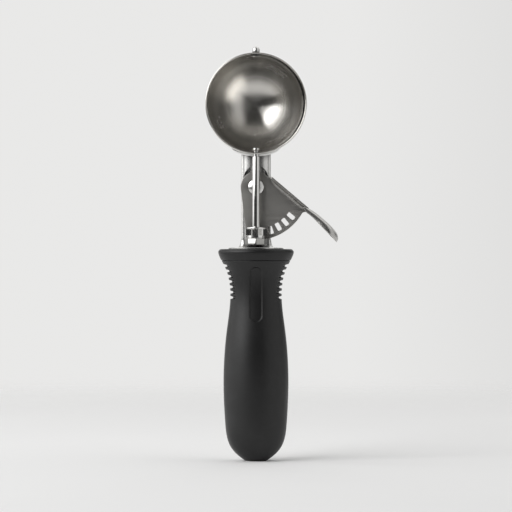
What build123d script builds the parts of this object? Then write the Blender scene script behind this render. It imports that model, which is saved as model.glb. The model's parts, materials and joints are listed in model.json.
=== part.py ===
"""Lever ice cream scoop: a hemispherical bowl on a hollow neck, a wiper blade turned by a
pinion and a slotted thumb lever, and a soft oval grip. Millimetres, +Z up along the tool,
origin at the centre of the grip's flat foot, the bowl opens towards -Y, the lever is on +X."""

from build123d import *
import math
import os

os.makedirs("parts", exist_ok=True)

# ---------------------------------------------------------------- grip
grip_length = 116.8           # flat foot to the top face of the collar
grip_flatness = 0.8           # depth of the oval section over its width
foot_half_width = 5.7         # flat that the tool stands on
foot_trim = 1.0               # moulded below the foot, then faced off flat
heel_half_width = 13.6
heel_height = 7.1
hip_half_width = 17.1
hip_height = 22.1
belly_half_width = 17.9
belly_height = 40.0
palm_half_width = 16.1
palm_drop = 44.5              # drops are measured down from the grip's top face
waist_half_width = 14.2
waist_drop = 24.8
throat_half_width = 17.5
throat_drop = 9.2
collar_half_width = 20.8
collar_shoulder_drop = 2.2    # widest line of the collar
collar_top_half_width = 18.6
collar_height = 6.2           # parting line to the top face
rubber_wall = 3.0             # sleeve around the rigid core, at the waist
core_floor = 12.0             # height of the core's lower end
core_roof = 2.0               # collar above the core
bond_gap = 0.05               # film between bonded or brazed faces

fin_count = 7
fin_pitch = 2.93
fin_groove = 1.25             # height of each groove
fin_depth = 1.5
fin_reach = 6.5               # half the run of a groove around the side
fin_drop = 9.1                # middle of the top groove

label_width = 6.7             # bare recessed panel on the front
label_length = 29.9
label_drop = 24.9
label_depth = 0.7

# ---------------------------------------------------------------- foot and tang
foot_plate_half_width = 15.2
foot_plate_thickness = 0.8
socket_wall = 0.5
socket_height = 3.6
socket_flare = 2.6            # concave fillet between plate and socket
tang_width = 12.0
tang_thickness = 3.0
tang_length = 72.0
tang_fit = 0.05
tang_pin_radius = 1.5
tang_pin_length = 16.0
tang_pin_drop = 18.0          # first cross pin below the top of the core
tang_pin_spacing = 34.0
tang_pin_count = 2

# ---------------------------------------------------------------- neck
neck_width = 16.4
neck_depth = 6.0
neck_wall = 1.0
neck_corner = 1.6
window_radius = 6.6
window_rise = 5.3             # window centre above the lever pivot

# ---------------------------------------------------------------- spindle, pinion and bush
spindle_setback = 6.0         # spindle axis in front of the grip axis
spindle_radius = 2.0
spindle_tip_radius = 1.4      # stepped ends, in the bowl and in the foot plate
spindle_head_radius = 2.05
spindle_head_height = 1.2
running_fit = 0.05            # radial clearance of every shaft and pin
bush_apothem = 5.9
bush_height = 4.9
bush_chamfer = 1.0
bush_back_clearance = 0.35    # bush's flat back to the lever plate
pinion_teeth = 7
pinion_hub_height = 1.2
pinion_hub_radius = 4.7
tooth_face = 3.4
tooth_tip_half = 0.4
tooth_root_half = 0.95
tooth_root_radius = 3.2
tooth_reach = 1.1             # how far a tooth enters the lever plate
collar_ring_radius = 4.75
collar_ring_height = 1.1
washer_thickness = 0.3
axial_gap = 0.15              # running gap along the spindle

# ---------------------------------------------------------------- lever
lever_thickness = 1.2
slot_circle = 25.1            # radius of the slot centres about the pivot
slot_pitch = 10.4             # degrees between slots
slot_phase = -1.9             # first slot's angle from straight down, towards +X
slot_count = 6
slot_width = 2.35
slot_length = 4.4
slot_corner = 0.6
sector_radius = 29.3
sector_right = 58.8           # ends of the toothed rim, degrees from straight down
sector_left = 9.8
lever_hub_radius = 8.5
hub_arc_end = 38.0            # where the round top gives way to the flange
flange_distance = 9.9         # outer face of the flange from the pivot
flange_slope = 40.2           # degrees below horizontal
flange_start = 2.8            # along the flange from the foot of its normal
flange_end = 31.7
flange_width = 3.4
web_margin = 2.5              # web left under the flange at the thumb pad
web_fillet = 2.2
pad_start = 29.0              # along the flange
pad_length = 25.0
pad_width = 16.0
pad_crown = 12.0              # cross radius of the thumb pad
pad_bend = 110.0              # lengthwise radius of the thumb pad

rivet_radius = 2.55
rivet_head_radius = 4.35
rivet_head_height = 1.3
rivet_tail_radius = 3.9
rivet_tail_height = 0.9
pivot_washer_radius = 5.2
pivot_washer_thickness = 0.5
side_gap = 0.06               # lever plate to its washer and to the rivet head

spring_wire = 0.9
spring_coil_radius = 4.7
spring_turns = 3
spring_pitch = 0.95
spring_leg = 9.5
spring_turn = 90.0            # turn of the coil's ends about the rivet

# ---------------------------------------------------------------- bowl and blade
bowl_rise = 45.8              # bowl centre above the lever pivot
bowl_radius = 28.0
bowl_wall = 0.9
bowl_lip = 3.0                # rim in front of the spindle axis
bowl_rim_round = 0.3
saddle_wall = 1.1
saddle_half_width = 14.0
saddle_half_depth = 9.5
saddle_setback = 8.5          # saddle centre behind the spindle axis
blade_gap = 0.35
blade_wall = 0.9
blade_width_angle = 22.0      # degrees of the blade about the spindle
blade_lead = 4.0              # degrees that the blade starts in front of the spindle axis
blade_hub_radius = 3.2
pin_head_radius = 2.05
pin_head_height = 3.3
pin_shank_radius = 1.3
pin_tail_radius = 1.8
pin_tail_height = 0.8

# ---------------------------------------------------------------- places that follow
plate_top = grip_length + foot_plate_thickness
bush_top = plate_top + bush_height
pinion_bottom = bush_top + washer_thickness + 2 * axial_gap
teeth_bottom = pinion_bottom + pinion_hub_height
teeth_top = teeth_bottom + tooth_face
ratio = 360 / pinion_teeth / slot_pitch
pitch_radius = slot_circle / ratio
tooth_tip_radius = pitch_radius + tooth_reach
spindle_y = -spindle_setback
lever_front = spindle_y + pitch_radius
lever_back = lever_front + lever_thickness
lever_middle_y = lever_front + lever_thickness / 2
neck_front_y = lever_back + pivot_washer_thickness + 2 * side_gap
neck_back_y = neck_front_y + neck_depth
neck_middle_y = neck_front_y + neck_depth / 2
pivot_z = teeth_bottom + tooth_face / 2 + slot_circle
bowl_z = pivot_z + bowl_rise
bowl_inner = bowl_radius - bowl_wall
blade_outer = bowl_inner - blade_gap
blade_inner = blade_outer - blade_wall
saddle_outer = bowl_radius + bond_gap + saddle_wall
core_top = grip_length - core_roof
core_half_width = waist_half_width - rubber_wall
parting_z = grip_length - collar_height
lever_plane = Plane(origin=(0, lever_back, pivot_z), x_dir=(1, 0, 0), z_dir=(0, -1, 0))


def polar(radius, degrees):
    """Point of the lever's plane at a radius and an angle from +X, about the pivot."""
    return (radius * math.cos(math.radians(degrees)), radius * math.sin(math.radians(degrees)))


def by_flange(distance, along):
    """Point of the lever's plane at a distance from the pivot and a run along the flange."""
    slope = math.radians(flange_slope)
    right = distance * math.sin(slope) + along * math.cos(slope)
    up = distance * math.cos(slope) - along * math.sin(slope)
    return (right, up)


def keep(solid, name):
    """Label a finished sub-part and write its STEP file."""
    solid.label = name
    export_step(solid, "parts/" + name + ".step")


# ================================================================ grip
grip_outline = Spline(
    (foot_half_width, 0),
    (heel_half_width, heel_height),
    (hip_half_width, hip_height),
    (belly_half_width, belly_height),
    (palm_half_width, grip_length - palm_drop),
    (waist_half_width, grip_length - waist_drop),
    (throat_half_width, grip_length - throat_drop),
    (collar_half_width, grip_length - collar_shoulder_drop),
    tangents=((1.0, 0.62), (0.25, 1.0)),
)


def half_width_at(height):
    """Half-width of the grip at a height, found by halving the outline's parameter."""
    low = 0.0
    high = 1.0
    while high - low > 1e-7:
        middle = (low + high) / 2
        if grip_outline.position_at(middle, PositionMode.PARAMETER).Y < height:
            low = middle
        else:
            high = middle
    return grip_outline.position_at(low, PositionMode.PARAMETER).X


def grip_blank(low, high):
    """The grip's outline turned to a round body, kept between two heights."""
    with BuildPart() as blank:
        with BuildSketch(Plane.XZ):
            with BuildLine():
                add(grip_outline)
                shoulder = TangentArc(
                    grip_outline @ 1,
                    (collar_top_half_width, grip_length),
                    tangent=grip_outline % 1,
                )
                Polyline(
                    shoulder @ 1,
                    (0, grip_length),
                    (0, -foot_trim),
                    (foot_half_width, -foot_trim),
                    grip_outline @ 0,
                )
            make_face()
        revolve(axis=Axis.Z)
        split(bisect_by=Plane.XY.offset(low), keep=Keep.TOP)
        split(bisect_by=Plane.XY.offset(high), keep=Keep.BOTTOM)
    return blank.part


def oval(half_width):
    """Oval of the grip's proportions, in the sketch being drawn."""
    Ellipse(half_width, half_width * grip_flatness)


def tang_slot():
    """Rectangle that the tang passes through with its fit, in the sketch being drawn."""
    Rectangle(tang_width + 2 * tang_fit, tang_thickness + 2 * tang_fit)


def label_recess():
    """Stadium cut whose floor follows the front line of the round body."""
    middle_z = grip_length - label_drop
    depth = label_depth / grip_flatness
    floor_points = []
    for step in (-1, 0, 1):
        height = middle_z + step * label_length / 2
        floor_points.append((depth - half_width_at(height), height))
    with BuildPart() as recess:
        with BuildSketch(Plane.XZ):
            with Locations((0, middle_z)):
                SlotOverall(label_length, label_width, rotation=90)
        extrude(amount=collar_half_width)
        with BuildSketch(Plane.YZ):
            with BuildLine():
                ThreePointArc(*floor_points)
                Polyline(
                    floor_points[2],
                    (label_width, floor_points[2][1]),
                    (label_width, floor_points[0][1]),
                    floor_points[0],
                )
            make_face()
        extrude(amount=label_width, both=True, mode=Mode.SUBTRACT)
    return recess.part


def fin_grooves():
    """Finger grooves of both sides of the round body, each with a round floor."""
    with BuildPart() as grooves:
        for row in range(fin_count):
            fin_z = grip_length - fin_drop - row * fin_pitch
            with BuildSketch(Plane.XY.offset(fin_z - fin_groove / 2)):
                Rectangle(3 * collar_half_width, 2 * fin_reach / grip_flatness)
                Circle(half_width_at(fin_z) - fin_depth, mode=Mode.SUBTRACT)
            extrude(amount=fin_groove)
    return grooves.part


def make_grip_sleeve():
    """Soft oval sleeve with a floor under the core, finger fins and a bare panel."""
    with BuildPart() as grip_sleeve:
        add(grip_blank(-foot_trim / 2, parting_z))
        with BuildSketch(Plane.XY.offset(core_floor)):
            Circle(core_half_width)
        extrude(amount=grip_length, mode=Mode.SUBTRACT)
        add([fin_grooves(), label_recess()], mode=Mode.SUBTRACT)
        scale(by=(1, grip_flatness, 1))
        split(bisect_by=Plane.XY, keep=Keep.TOP)
    keep(grip_sleeve.part, "grip_sleeve")


def make_grip_collar():
    """Flared oval end collar, hollow for the core and slotted for the tang."""
    with BuildPart() as grip_collar:
        add(grip_blank(parting_z, grip_length))
        with BuildSketch(Plane.XY.offset(parting_z)):
            Circle(core_half_width)
        extrude(amount=collar_height - core_roof, mode=Mode.SUBTRACT)
        scale(by=(1, grip_flatness, 1))
        with BuildSketch(Plane.XY.offset(parting_z)):
            tang_slot()
        extrude(amount=collar_height, mode=Mode.SUBTRACT)
    keep(grip_collar.part, "grip_collar")


def tang_pin_holes(radius, length):
    """Cross pins at every pin place, as material or as holes."""
    with BuildPart() as pins:
        for row in range(tang_pin_count):
            with Locations((0, 0, core_top - tang_pin_drop - row * tang_pin_spacing)):
                Cylinder(radius, length, rotation=(90, 0, 0))
    return pins.part


def make_handle_core():
    """Rigid oval core inside the sleeve, with the tang's slot and its cross-pin holes."""
    with BuildPart() as handle_core:
        with BuildSketch(Plane.XY.offset(core_floor + bond_gap)):
            oval(core_half_width - bond_gap)
        extrude(amount=core_top - core_floor - 2 * bond_gap)
        with BuildSketch(Plane.XY.offset(grip_length - tang_length - tang_fit)):
            tang_slot()
        extrude(amount=tang_length, mode=Mode.SUBTRACT)
        add(tang_pin_holes(tang_pin_radius + tang_fit, tang_pin_length), mode=Mode.SUBTRACT)
    keep(handle_core.part, "handle_core")


def make_tang():
    """Flat bar from the foot plate down into the core, drilled for the cross pins."""
    with BuildPart() as tang:
        with BuildSketch(Plane.XY.offset(grip_length - tang_length)):
            Rectangle(tang_width, tang_thickness)
        extrude(amount=tang_length - bond_gap)
        chamfer(tang.edges().group_by(Axis.Z)[0], length=tang_thickness / 4)
        add(tang_pin_holes(tang_pin_radius + tang_fit, tang_pin_length), mode=Mode.SUBTRACT)
    keep(tang.part, "tang")


def make_tang_pins():
    """Cross pins that lock the tang in the core, one group of separate solids."""
    keep(tang_pin_holes(tang_pin_radius, tang_pin_length - tang_fit), "tang_pins")


# ================================================================ neck
def neck_section(grow):
    """Outside of the neck, a rounded rectangle grown by a margin."""
    with Locations((0, neck_middle_y)):
        RectangleRounded(neck_width + 2 * grow, neck_depth + 2 * grow, neck_corner + grow)


def bush_section(grow):
    """Octagon of the bush, grown by a margin."""
    with Locations((0, spindle_y)):
        RegularPolygon(bush_apothem + grow, 8, major_radius=False, rotation=22.5)


def bowl_ball(radius):
    """Ball at the bowl's centre that shapes what is brazed to the bowl."""
    with BuildPart() as ball:
        with Locations((0, spindle_y, bowl_z)):
            Sphere(radius)
    return ball.part


def rivet_hole(radius, back):
    """Round bar along the lever's pivot axis, from in front of the lever to a depth."""
    with BuildPart() as bar:
        with BuildSketch(Plane.XZ.offset(-back)):
            with Locations((0, pivot_z)):
                Circle(radius)
        extrude(amount=back - spindle_y)
    return bar.part


def make_neck_foot():
    """Oval foot plate with a flared socket that holds the neck, cut away for the bush."""
    with BuildPart() as neck_foot:
        with BuildSketch(Plane.XY.offset(grip_length)):
            oval(foot_plate_half_width)
        extrude(amount=foot_plate_thickness)
        with BuildSketch(Plane.XY.offset(plate_top)):
            neck_section(socket_wall)
        extrude(amount=socket_height)
        plate_edges = neck_foot.edges().filter_by_position(
            Axis.Z, plate_top - bond_gap, plate_top + bond_gap
        )
        socket_edges = plate_edges.filter_by(lambda edge: edge.length < 2 * neck_width)
        fillet(socket_edges, radius=socket_flare)
        with BuildSketch(Plane.XY.offset(plate_top)):
            neck_section(bond_gap)
            bush_section(bond_gap)
        extrude(amount=socket_height, mode=Mode.SUBTRACT)
        with Locations((0, spindle_y, plate_top)):
            Hole(spindle_tip_radius + running_fit, depth=foot_plate_thickness)
    keep(neck_foot.part, "neck_foot")


def make_neck_front():
    """Front channel of the hollow neck with the round window and the rivet hole."""
    with BuildPart() as neck_front:
        with BuildSketch(Plane.XY.offset(plate_top + bond_gap)):
            neck_section(0)
            with Locations((0, neck_middle_y)):
                RectangleRounded(
                    neck_width - 2 * neck_wall,
                    neck_depth - 2 * neck_wall,
                    neck_corner - neck_wall,
                    mode=Mode.SUBTRACT,
                )
            with Locations((0, neck_back_y)):
                Rectangle(neck_width - 2 * neck_corner, 2 * neck_wall, mode=Mode.SUBTRACT)
        extrude(amount=bowl_z - bowl_radius / 2 - plate_top)
        add(bowl_ball(saddle_outer + bond_gap), mode=Mode.SUBTRACT)
        with BuildSketch(Plane.XZ.offset(-neck_front_y - neck_wall)):
            with Locations((0, pivot_z + window_rise)):
                Circle(window_radius)
            with Locations((0, pivot_z)):
                Circle(pivot_washer_radius, mode=Mode.SUBTRACT)
        extrude(amount=2 * neck_wall, mode=Mode.SUBTRACT)
        add(rivet_hole(rivet_radius + bond_gap, neck_front_y + neck_wall), mode=Mode.SUBTRACT)
    keep(neck_front.part, "neck_front")


def make_neck_back():
    """Cover that closes the back of the neck between the channel's edges."""
    with BuildPart() as neck_back:
        with BuildSketch(Plane.XY.offset(plate_top + bond_gap)):
            with Locations((0, neck_back_y - neck_wall / 2)):
                Rectangle(neck_width - 2 * neck_corner - 2 * bond_gap, neck_wall)
        extrude(amount=bowl_z - bowl_radius / 2 - plate_top)
        add(bowl_ball(saddle_outer + bond_gap), mode=Mode.SUBTRACT)
        add(rivet_hole(rivet_radius + bond_gap, neck_back_y), mode=Mode.SUBTRACT)
    keep(neck_back.part, "neck_back")


def make_bowl_saddle():
    """Brazed patch between the neck and the bowl, with the spindle's hole."""
    with BuildPart() as bowl_saddle:
        with BuildSketch(Plane.XY.offset(bowl_z - bowl_radius / 2)):
            with Locations((0, spindle_y + saddle_setback)):
                Ellipse(saddle_half_width, saddle_half_depth)
            with Locations((0, spindle_y)):
                Circle(spindle_tip_radius + running_fit, mode=Mode.SUBTRACT)
        extrude(amount=-bowl_radius)
        add(bowl_ball(saddle_outer), mode=Mode.INTERSECT)
        add(bowl_ball(bowl_radius + bond_gap), mode=Mode.SUBTRACT)
    keep(bowl_saddle.part, "bowl_saddle")


# ================================================================ spindle and pinion
def make_lower_bush():
    """Octagonal bearing bush on the foot plate, its back cut flat to clear the lever."""
    with BuildPart() as lower_bush:
        with BuildSketch(Plane.XY.offset(plate_top + bond_gap)):
            bush_section(0)
        extrude(amount=bush_height - bond_gap)
        chamfer(lower_bush.edges().group_by(Axis.Z)[0], length=bush_chamfer)
        split(
            bisect_by=Plane(origin=(0, lever_front - bush_back_clearance, 0), z_dir=(0, 1, 0)),
            keep=Keep.BOTTOM,
        )
        with Locations((0, spindle_y, bush_top)):
            Hole(spindle_tip_radius + running_fit)
    keep(lower_bush.part, "lower_bush")


def make_thrust_washer():
    """Thin washer that carries the pinion on the bush."""
    with BuildPart() as thrust_washer:
        with BuildSketch(Plane.XY.offset(bush_top + axial_gap)):
            with Locations((0, spindle_y)):
                Circle(pinion_hub_radius)
                Circle(spindle_tip_radius + running_fit, mode=Mode.SUBTRACT)
        extrude(amount=washer_thickness)
    keep(thrust_washer.part, "thrust_washer")


def make_pinion():
    """Toothed pinion whose teeth enter the lever's slots from the front."""
    with BuildPart() as pinion:
        with BuildSketch(Plane.XY.offset(pinion_bottom)):
            with Locations((0, spindle_y)):
                Circle(pinion_hub_radius)
        extrude(amount=pinion_hub_height)
        with BuildSketch(Plane.XY.offset(teeth_bottom)):
            with Locations((0, spindle_y)):
                Circle(tooth_root_radius)
            with Locations((0, spindle_y)):
                with PolarLocations(0, pinion_teeth, start_angle=90 - slot_phase * ratio):
                    Polygon(
                        (0, -tooth_root_half),
                        (tooth_root_radius, -tooth_root_half),
                        (tooth_tip_radius, -tooth_tip_half),
                        (tooth_tip_radius, tooth_tip_half),
                        (tooth_root_radius, tooth_root_half),
                        (0, tooth_root_half),
                        align=None,
                    )
        extrude(amount=tooth_face)
        with Locations((0, spindle_y, teeth_top)):
            Hole(spindle_radius + bond_gap)
    keep(pinion.part, "pinion")


def make_pinion_collar():
    """Collar pressed on the spindle above the pinion's teeth."""
    with BuildPart() as pinion_collar:
        with BuildSketch(Plane.XY.offset(teeth_top)):
            with Locations((0, spindle_y)):
                Circle(collar_ring_radius)
                Circle(spindle_radius + bond_gap, mode=Mode.SUBTRACT)
        extrude(amount=collar_ring_height)
    keep(pinion_collar.part, "pinion_collar")


def make_spindle():
    """Spindle from the foot plate to the bowl, stepped at both ends, with a riveted head."""
    shoulder_z = bowl_z - math.sqrt(saddle_outer**2 - spindle_radius**2) - blade_gap
    blade_seat_z = bowl_z - blade_inner + 2 * bond_gap
    with BuildPart() as spindle:
        with BuildSketch(Plane.XY.offset(grip_length + bond_gap)):
            with Locations((0, spindle_y)):
                Circle(spindle_tip_radius)
        extrude(amount=blade_seat_z - grip_length)
        with BuildSketch(Plane.XY.offset(pinion_bottom)):
            with Locations((0, spindle_y)):
                Circle(spindle_radius)
        extrude(amount=shoulder_z - pinion_bottom)
        with BuildSketch(Plane.XY.offset(blade_seat_z)):
            with Locations((0, spindle_y)):
                Circle(spindle_head_radius)
        extrude(amount=spindle_head_height)
        chamfer(spindle.edges().group_by(Axis.Z)[-1], length=spindle_head_height / 4)
    keep(spindle.part, "spindle")


# ================================================================ lever
def web_corner():
    """Corner where the toothed rim's end line meets the web under the flange."""
    rim_end = polar(sector_radius, sector_right - 90)
    rise = polar(1, sector_right)
    normal = by_flange(1, 0)
    gap = flange_distance - web_margin - rim_end[0] * normal[0] - rim_end[1] * normal[1]
    travel = gap / (rise[0] * normal[0] + rise[1] * normal[1])
    return (rim_end[0] + travel * rise[0], rim_end[1] + travel * rise[1])


def thumb_pad():
    """Crowned sheet of the thumb pad, bent lengthwise and trimmed to an oval.

    Drawn with X along the flange and Z along its normal, then set on the flange's end."""
    run = by_flange(0, 1)
    normal = by_flange(1, 0)
    start = by_flange(flange_distance, pad_start)
    with BuildPart() as pad:
        with BuildSketch(Plane(origin=(-pad_bend, 0, -pad_bend), x_dir=(0, 1, 0))):
            with Locations((0, -pad_crown)):
                Circle(pad_crown)
                Circle(pad_crown - lever_thickness, mode=Mode.SUBTRACT)
            Rectangle(pad_width, 2 * pad_crown - pad_width / 2, mode=Mode.INTERSECT)
        revolve(axis=Axis((0, 0, -pad_bend), (0, 1, 0)), revolution_arc=180)
        with BuildSketch():
            with Locations((pad_length / 2, 0)):
                Ellipse(pad_length / 2, pad_width / 2)
        extrude(amount=pad_width, both=True, mode=Mode.INTERSECT)
    flange_end_plane = Plane(
        origin=(start[0], lever_middle_y, pivot_z + start[1]),
        x_dir=(run[0], 0, run[1]),
        z_dir=(normal[0], 0, normal[1]),
    )
    return pad.part.moved(Location(flange_end_plane))


def make_trigger_lever():
    """Stamped lever: slotted sector, stiffening flange and crowned thumb pad."""
    hub_left = 270 - sector_left - math.degrees(math.acos(lever_hub_radius / sector_radius))
    rim_end = polar(sector_radius, sector_right - 90)
    web_end = by_flange(flange_distance - web_margin, flange_end)
    with BuildPart() as trigger_lever:
        with BuildSketch(lever_plane):
            with BuildLine():
                ThreePointArc(
                    polar(lever_hub_radius, hub_left),
                    polar(lever_hub_radius, (hub_left + hub_arc_end) / 2),
                    polar(lever_hub_radius, hub_arc_end),
                )
                Polyline(
                    polar(lever_hub_radius, hub_arc_end),
                    by_flange(flange_distance, flange_start),
                    by_flange(flange_distance, flange_end),
                    web_end,
                )
                FilletPolyline(web_end, web_corner(), rim_end, radius=web_fillet)
                ThreePointArc(
                    rim_end,
                    polar(sector_radius, (sector_right - sector_left) / 2 - 90),
                    polar(sector_radius, -90 - sector_left),
                )
                Line(
                    polar(sector_radius, -90 - sector_left),
                    polar(lever_hub_radius, hub_left),
                )
            make_face()
            Circle(rivet_radius + running_fit, mode=Mode.SUBTRACT)
            for slot in range(slot_count):
                angle = slot_phase + slot * slot_pitch - 90
                with Locations(Location(polar(slot_circle, angle), angle)):
                    RectangleRounded(slot_length, slot_width, slot_corner, mode=Mode.SUBTRACT)
        extrude(amount=lever_thickness)
        with BuildSketch(lever_plane):
            Polygon(
                by_flange(flange_distance, flange_start),
                by_flange(flange_distance, flange_end),
                by_flange(flange_distance - lever_thickness, flange_end),
                by_flange(flange_distance - lever_thickness, flange_start),
                align=None,
            )
        extrude(amount=flange_width + lever_thickness)
        add(thumb_pad())
    keep(trigger_lever.part, "trigger_lever")


def make_pivot_rivet():
    """Rivet through the lever and the neck, domed in front and clenched behind."""
    head_y = lever_front - side_gap
    with BuildPart() as pivot_rivet:
        with BuildSketch(Plane.XZ.offset(-neck_back_y - rivet_tail_height)):
            with Locations((0, pivot_z)):
                Circle(rivet_tail_radius)
        extrude(amount=rivet_tail_height - bond_gap)
        with BuildSketch(Plane.XZ.offset(-neck_back_y - rivet_tail_height)):
            with Locations((0, pivot_z)):
                Circle(rivet_radius)
        extrude(amount=neck_back_y + rivet_tail_height - head_y)
        with BuildSketch(Plane.XZ.offset(-head_y)):
            with Locations((0, pivot_z)):
                Circle(rivet_head_radius)
        extrude(amount=rivet_head_height)
        head_edge = pivot_rivet.edges().group_by(Axis.Y)[0]
        tail_edge = pivot_rivet.edges().group_by(Axis.Y)[-1]
        fillet(head_edge, radius=0.8 * rivet_head_height)
        fillet(tail_edge, radius=0.8 * rivet_tail_height)
    keep(pivot_rivet.part, "pivot_rivet")


def make_pivot_washer():
    """Washer between the lever plate and the neck."""
    with BuildPart() as pivot_washer:
        with BuildSketch(Plane.XZ.offset(-neck_front_y)):
            with Locations((0, pivot_z)):
                Circle(pivot_washer_radius)
                Circle(rivet_radius + bond_gap, mode=Mode.SUBTRACT)
        extrude(amount=pivot_washer_thickness)
    keep(pivot_washer.part, "pivot_washer")


def make_return_spring():
    """Torsion spring around the rivet inside the neck, one leg up behind the window.

    Wound about Z, then laid along the rivet and turned."""
    coil_run = spring_turns * spring_pitch
    coil_start = (0, neck_middle_y - coil_run / 2, pivot_z)
    leg = Vector(0, spring_leg, 0)
    with BuildPart() as return_spring:
        with BuildLine() as wire_line:
            coil = Helix(pitch=spring_pitch, height=coil_run, radius=spring_coil_radius)
            Line(coil @ 0 - leg, coil @ 0)
            Line(coil @ 1, coil @ 1 + leg)
        wire_path = wire_line.wires()[0]
        with BuildSketch(Plane(origin=wire_path @ 0, z_dir=wire_path % 0)):
            Circle(spring_wire / 2)
        sweep(path=wire_path)
    laid = return_spring.part.moved(
        Location(Plane(origin=coil_start, x_dir=(0, 0, 1), z_dir=(0, 1, 0)))
    )
    keep(laid.rotate(Axis(coil_start, (0, 1, 0)), spring_turn), "return_spring")


# ================================================================ bowl and blade
def make_bowl():
    """Spun hemispherical bowl with a short lip, and the two holes on the spindle axis."""
    with BuildPart() as bowl:
        add(bowl_ball(bowl_radius))
        add(bowl_ball(bowl_inner), mode=Mode.SUBTRACT)
        split(
            bisect_by=Plane(origin=(0, spindle_y - bowl_lip, 0), z_dir=(0, 1, 0)),
            keep=Keep.TOP,
        )
        fillet(bowl.edges().group_by(Axis.Y)[0], radius=bowl_rim_round)
        with Locations((0, spindle_y, bowl_z + bowl_radius)):
            Hole(pin_shank_radius + bond_gap, depth=bowl_radius)
        with Locations((0, spindle_y, bowl_z)):
            Hole(spindle_tip_radius + running_fit, depth=bowl_radius)
    keep(bowl.part, "bowl")


def make_upper_pivot_pin():
    """Round-headed pin through the top of the bowl that carries the blade's upper eye."""
    with BuildPart() as upper_pivot_pin:
        with BuildSketch(Plane.XY.offset(bowl_z + bowl_radius + bond_gap)):
            with Locations((0, spindle_y)):
                Circle(pin_head_radius)
        extrude(amount=pin_head_height)
        fillet(upper_pivot_pin.edges().group_by(Axis.Z)[-1], radius=0.9 * pin_head_radius)
        tail_top = bowl_z + math.sqrt(blade_inner**2 - pin_tail_radius**2) - axial_gap
        with BuildSketch(Plane.XY.offset(tail_top)):
            with Locations((0, spindle_y)):
                Circle(pin_shank_radius)
        extrude(amount=bowl_z + bowl_radius + 2 * bond_gap - tail_top)
        with BuildSketch(Plane.XY.offset(tail_top)):
            with Locations((0, spindle_y)):
                Circle(pin_tail_radius)
        extrude(amount=-pin_tail_height)
        fillet(upper_pivot_pin.edges().group_by(Axis.Z)[0], radius=pin_tail_height / 2)
    keep(upper_pivot_pin.part, "upper_pivot_pin")


def make_wiper_blade():
    """Thin blade that hugs the bowl's inside, with an eye at each end on the spindle axis."""
    with BuildPart() as wiper_blade:
        with BuildSketch(Plane(origin=(0, spindle_y, bowl_z), x_dir=(1, 0, 0), z_dir=(0, -1, 0))):
            Circle(blade_outer)
            Circle(blade_inner, mode=Mode.SUBTRACT)
            with Locations((bowl_radius, 0)):
                Rectangle(2 * bowl_radius, 3 * bowl_radius, mode=Mode.INTERSECT)
        revolve(
            axis=Axis((0, spindle_y, 0), (0, 0, 1)),
            revolution_arc=blade_width_angle,
        )
        with BuildSketch(Plane.XY.offset(bowl_z - bowl_radius)):
            with Locations((0, spindle_y)):
                Circle(blade_hub_radius)
        extrude(amount=2 * bowl_radius)
        add(bowl_ball(blade_outer), mode=Mode.INTERSECT)
        add(bowl_ball(blade_inner), mode=Mode.SUBTRACT)
        with Locations((0, spindle_y, bowl_z + bowl_radius)):
            Hole(pin_shank_radius + running_fit, depth=bowl_radius)
        with Locations((0, spindle_y, bowl_z)):
            Hole(spindle_tip_radius + bond_gap, depth=bowl_radius)
    turned = wiper_blade.part.rotate(Axis((0, spindle_y, 0), (0, 0, 1)), -blade_lead)
    keep(turned, "wiper_blade")


def main():
    """Make every sub-part and write its STEP file."""
    make_grip_sleeve()
    make_grip_collar()
    make_handle_core()
    make_tang()
    make_tang_pins()
    make_neck_foot()
    make_neck_front()
    make_neck_back()
    make_bowl_saddle()
    make_lower_bush()
    make_thrust_washer()
    make_pinion()
    make_pinion_collar()
    make_spindle()
    make_trigger_lever()
    make_pivot_rivet()
    make_pivot_washer()
    make_return_spring()
    make_bowl()
    make_upper_pivot_pin()
    make_wiper_blade()


main()
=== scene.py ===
"""Looks of the lever ice cream scoop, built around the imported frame.

The frame's axes: Z up, the grip's flat foot at the origin, the bowl open towards -Y and the
thumb lever on +X. Sizes in this file are in millimetres, meshes in metres.
"""

import json
import logging
import math
from dataclasses import dataclass, field
from enum import Enum
from typing import NamedTuple

import bmesh
import bpy
import numpy as np
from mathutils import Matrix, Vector
from mathutils.geometry import tessellate_polygon

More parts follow.
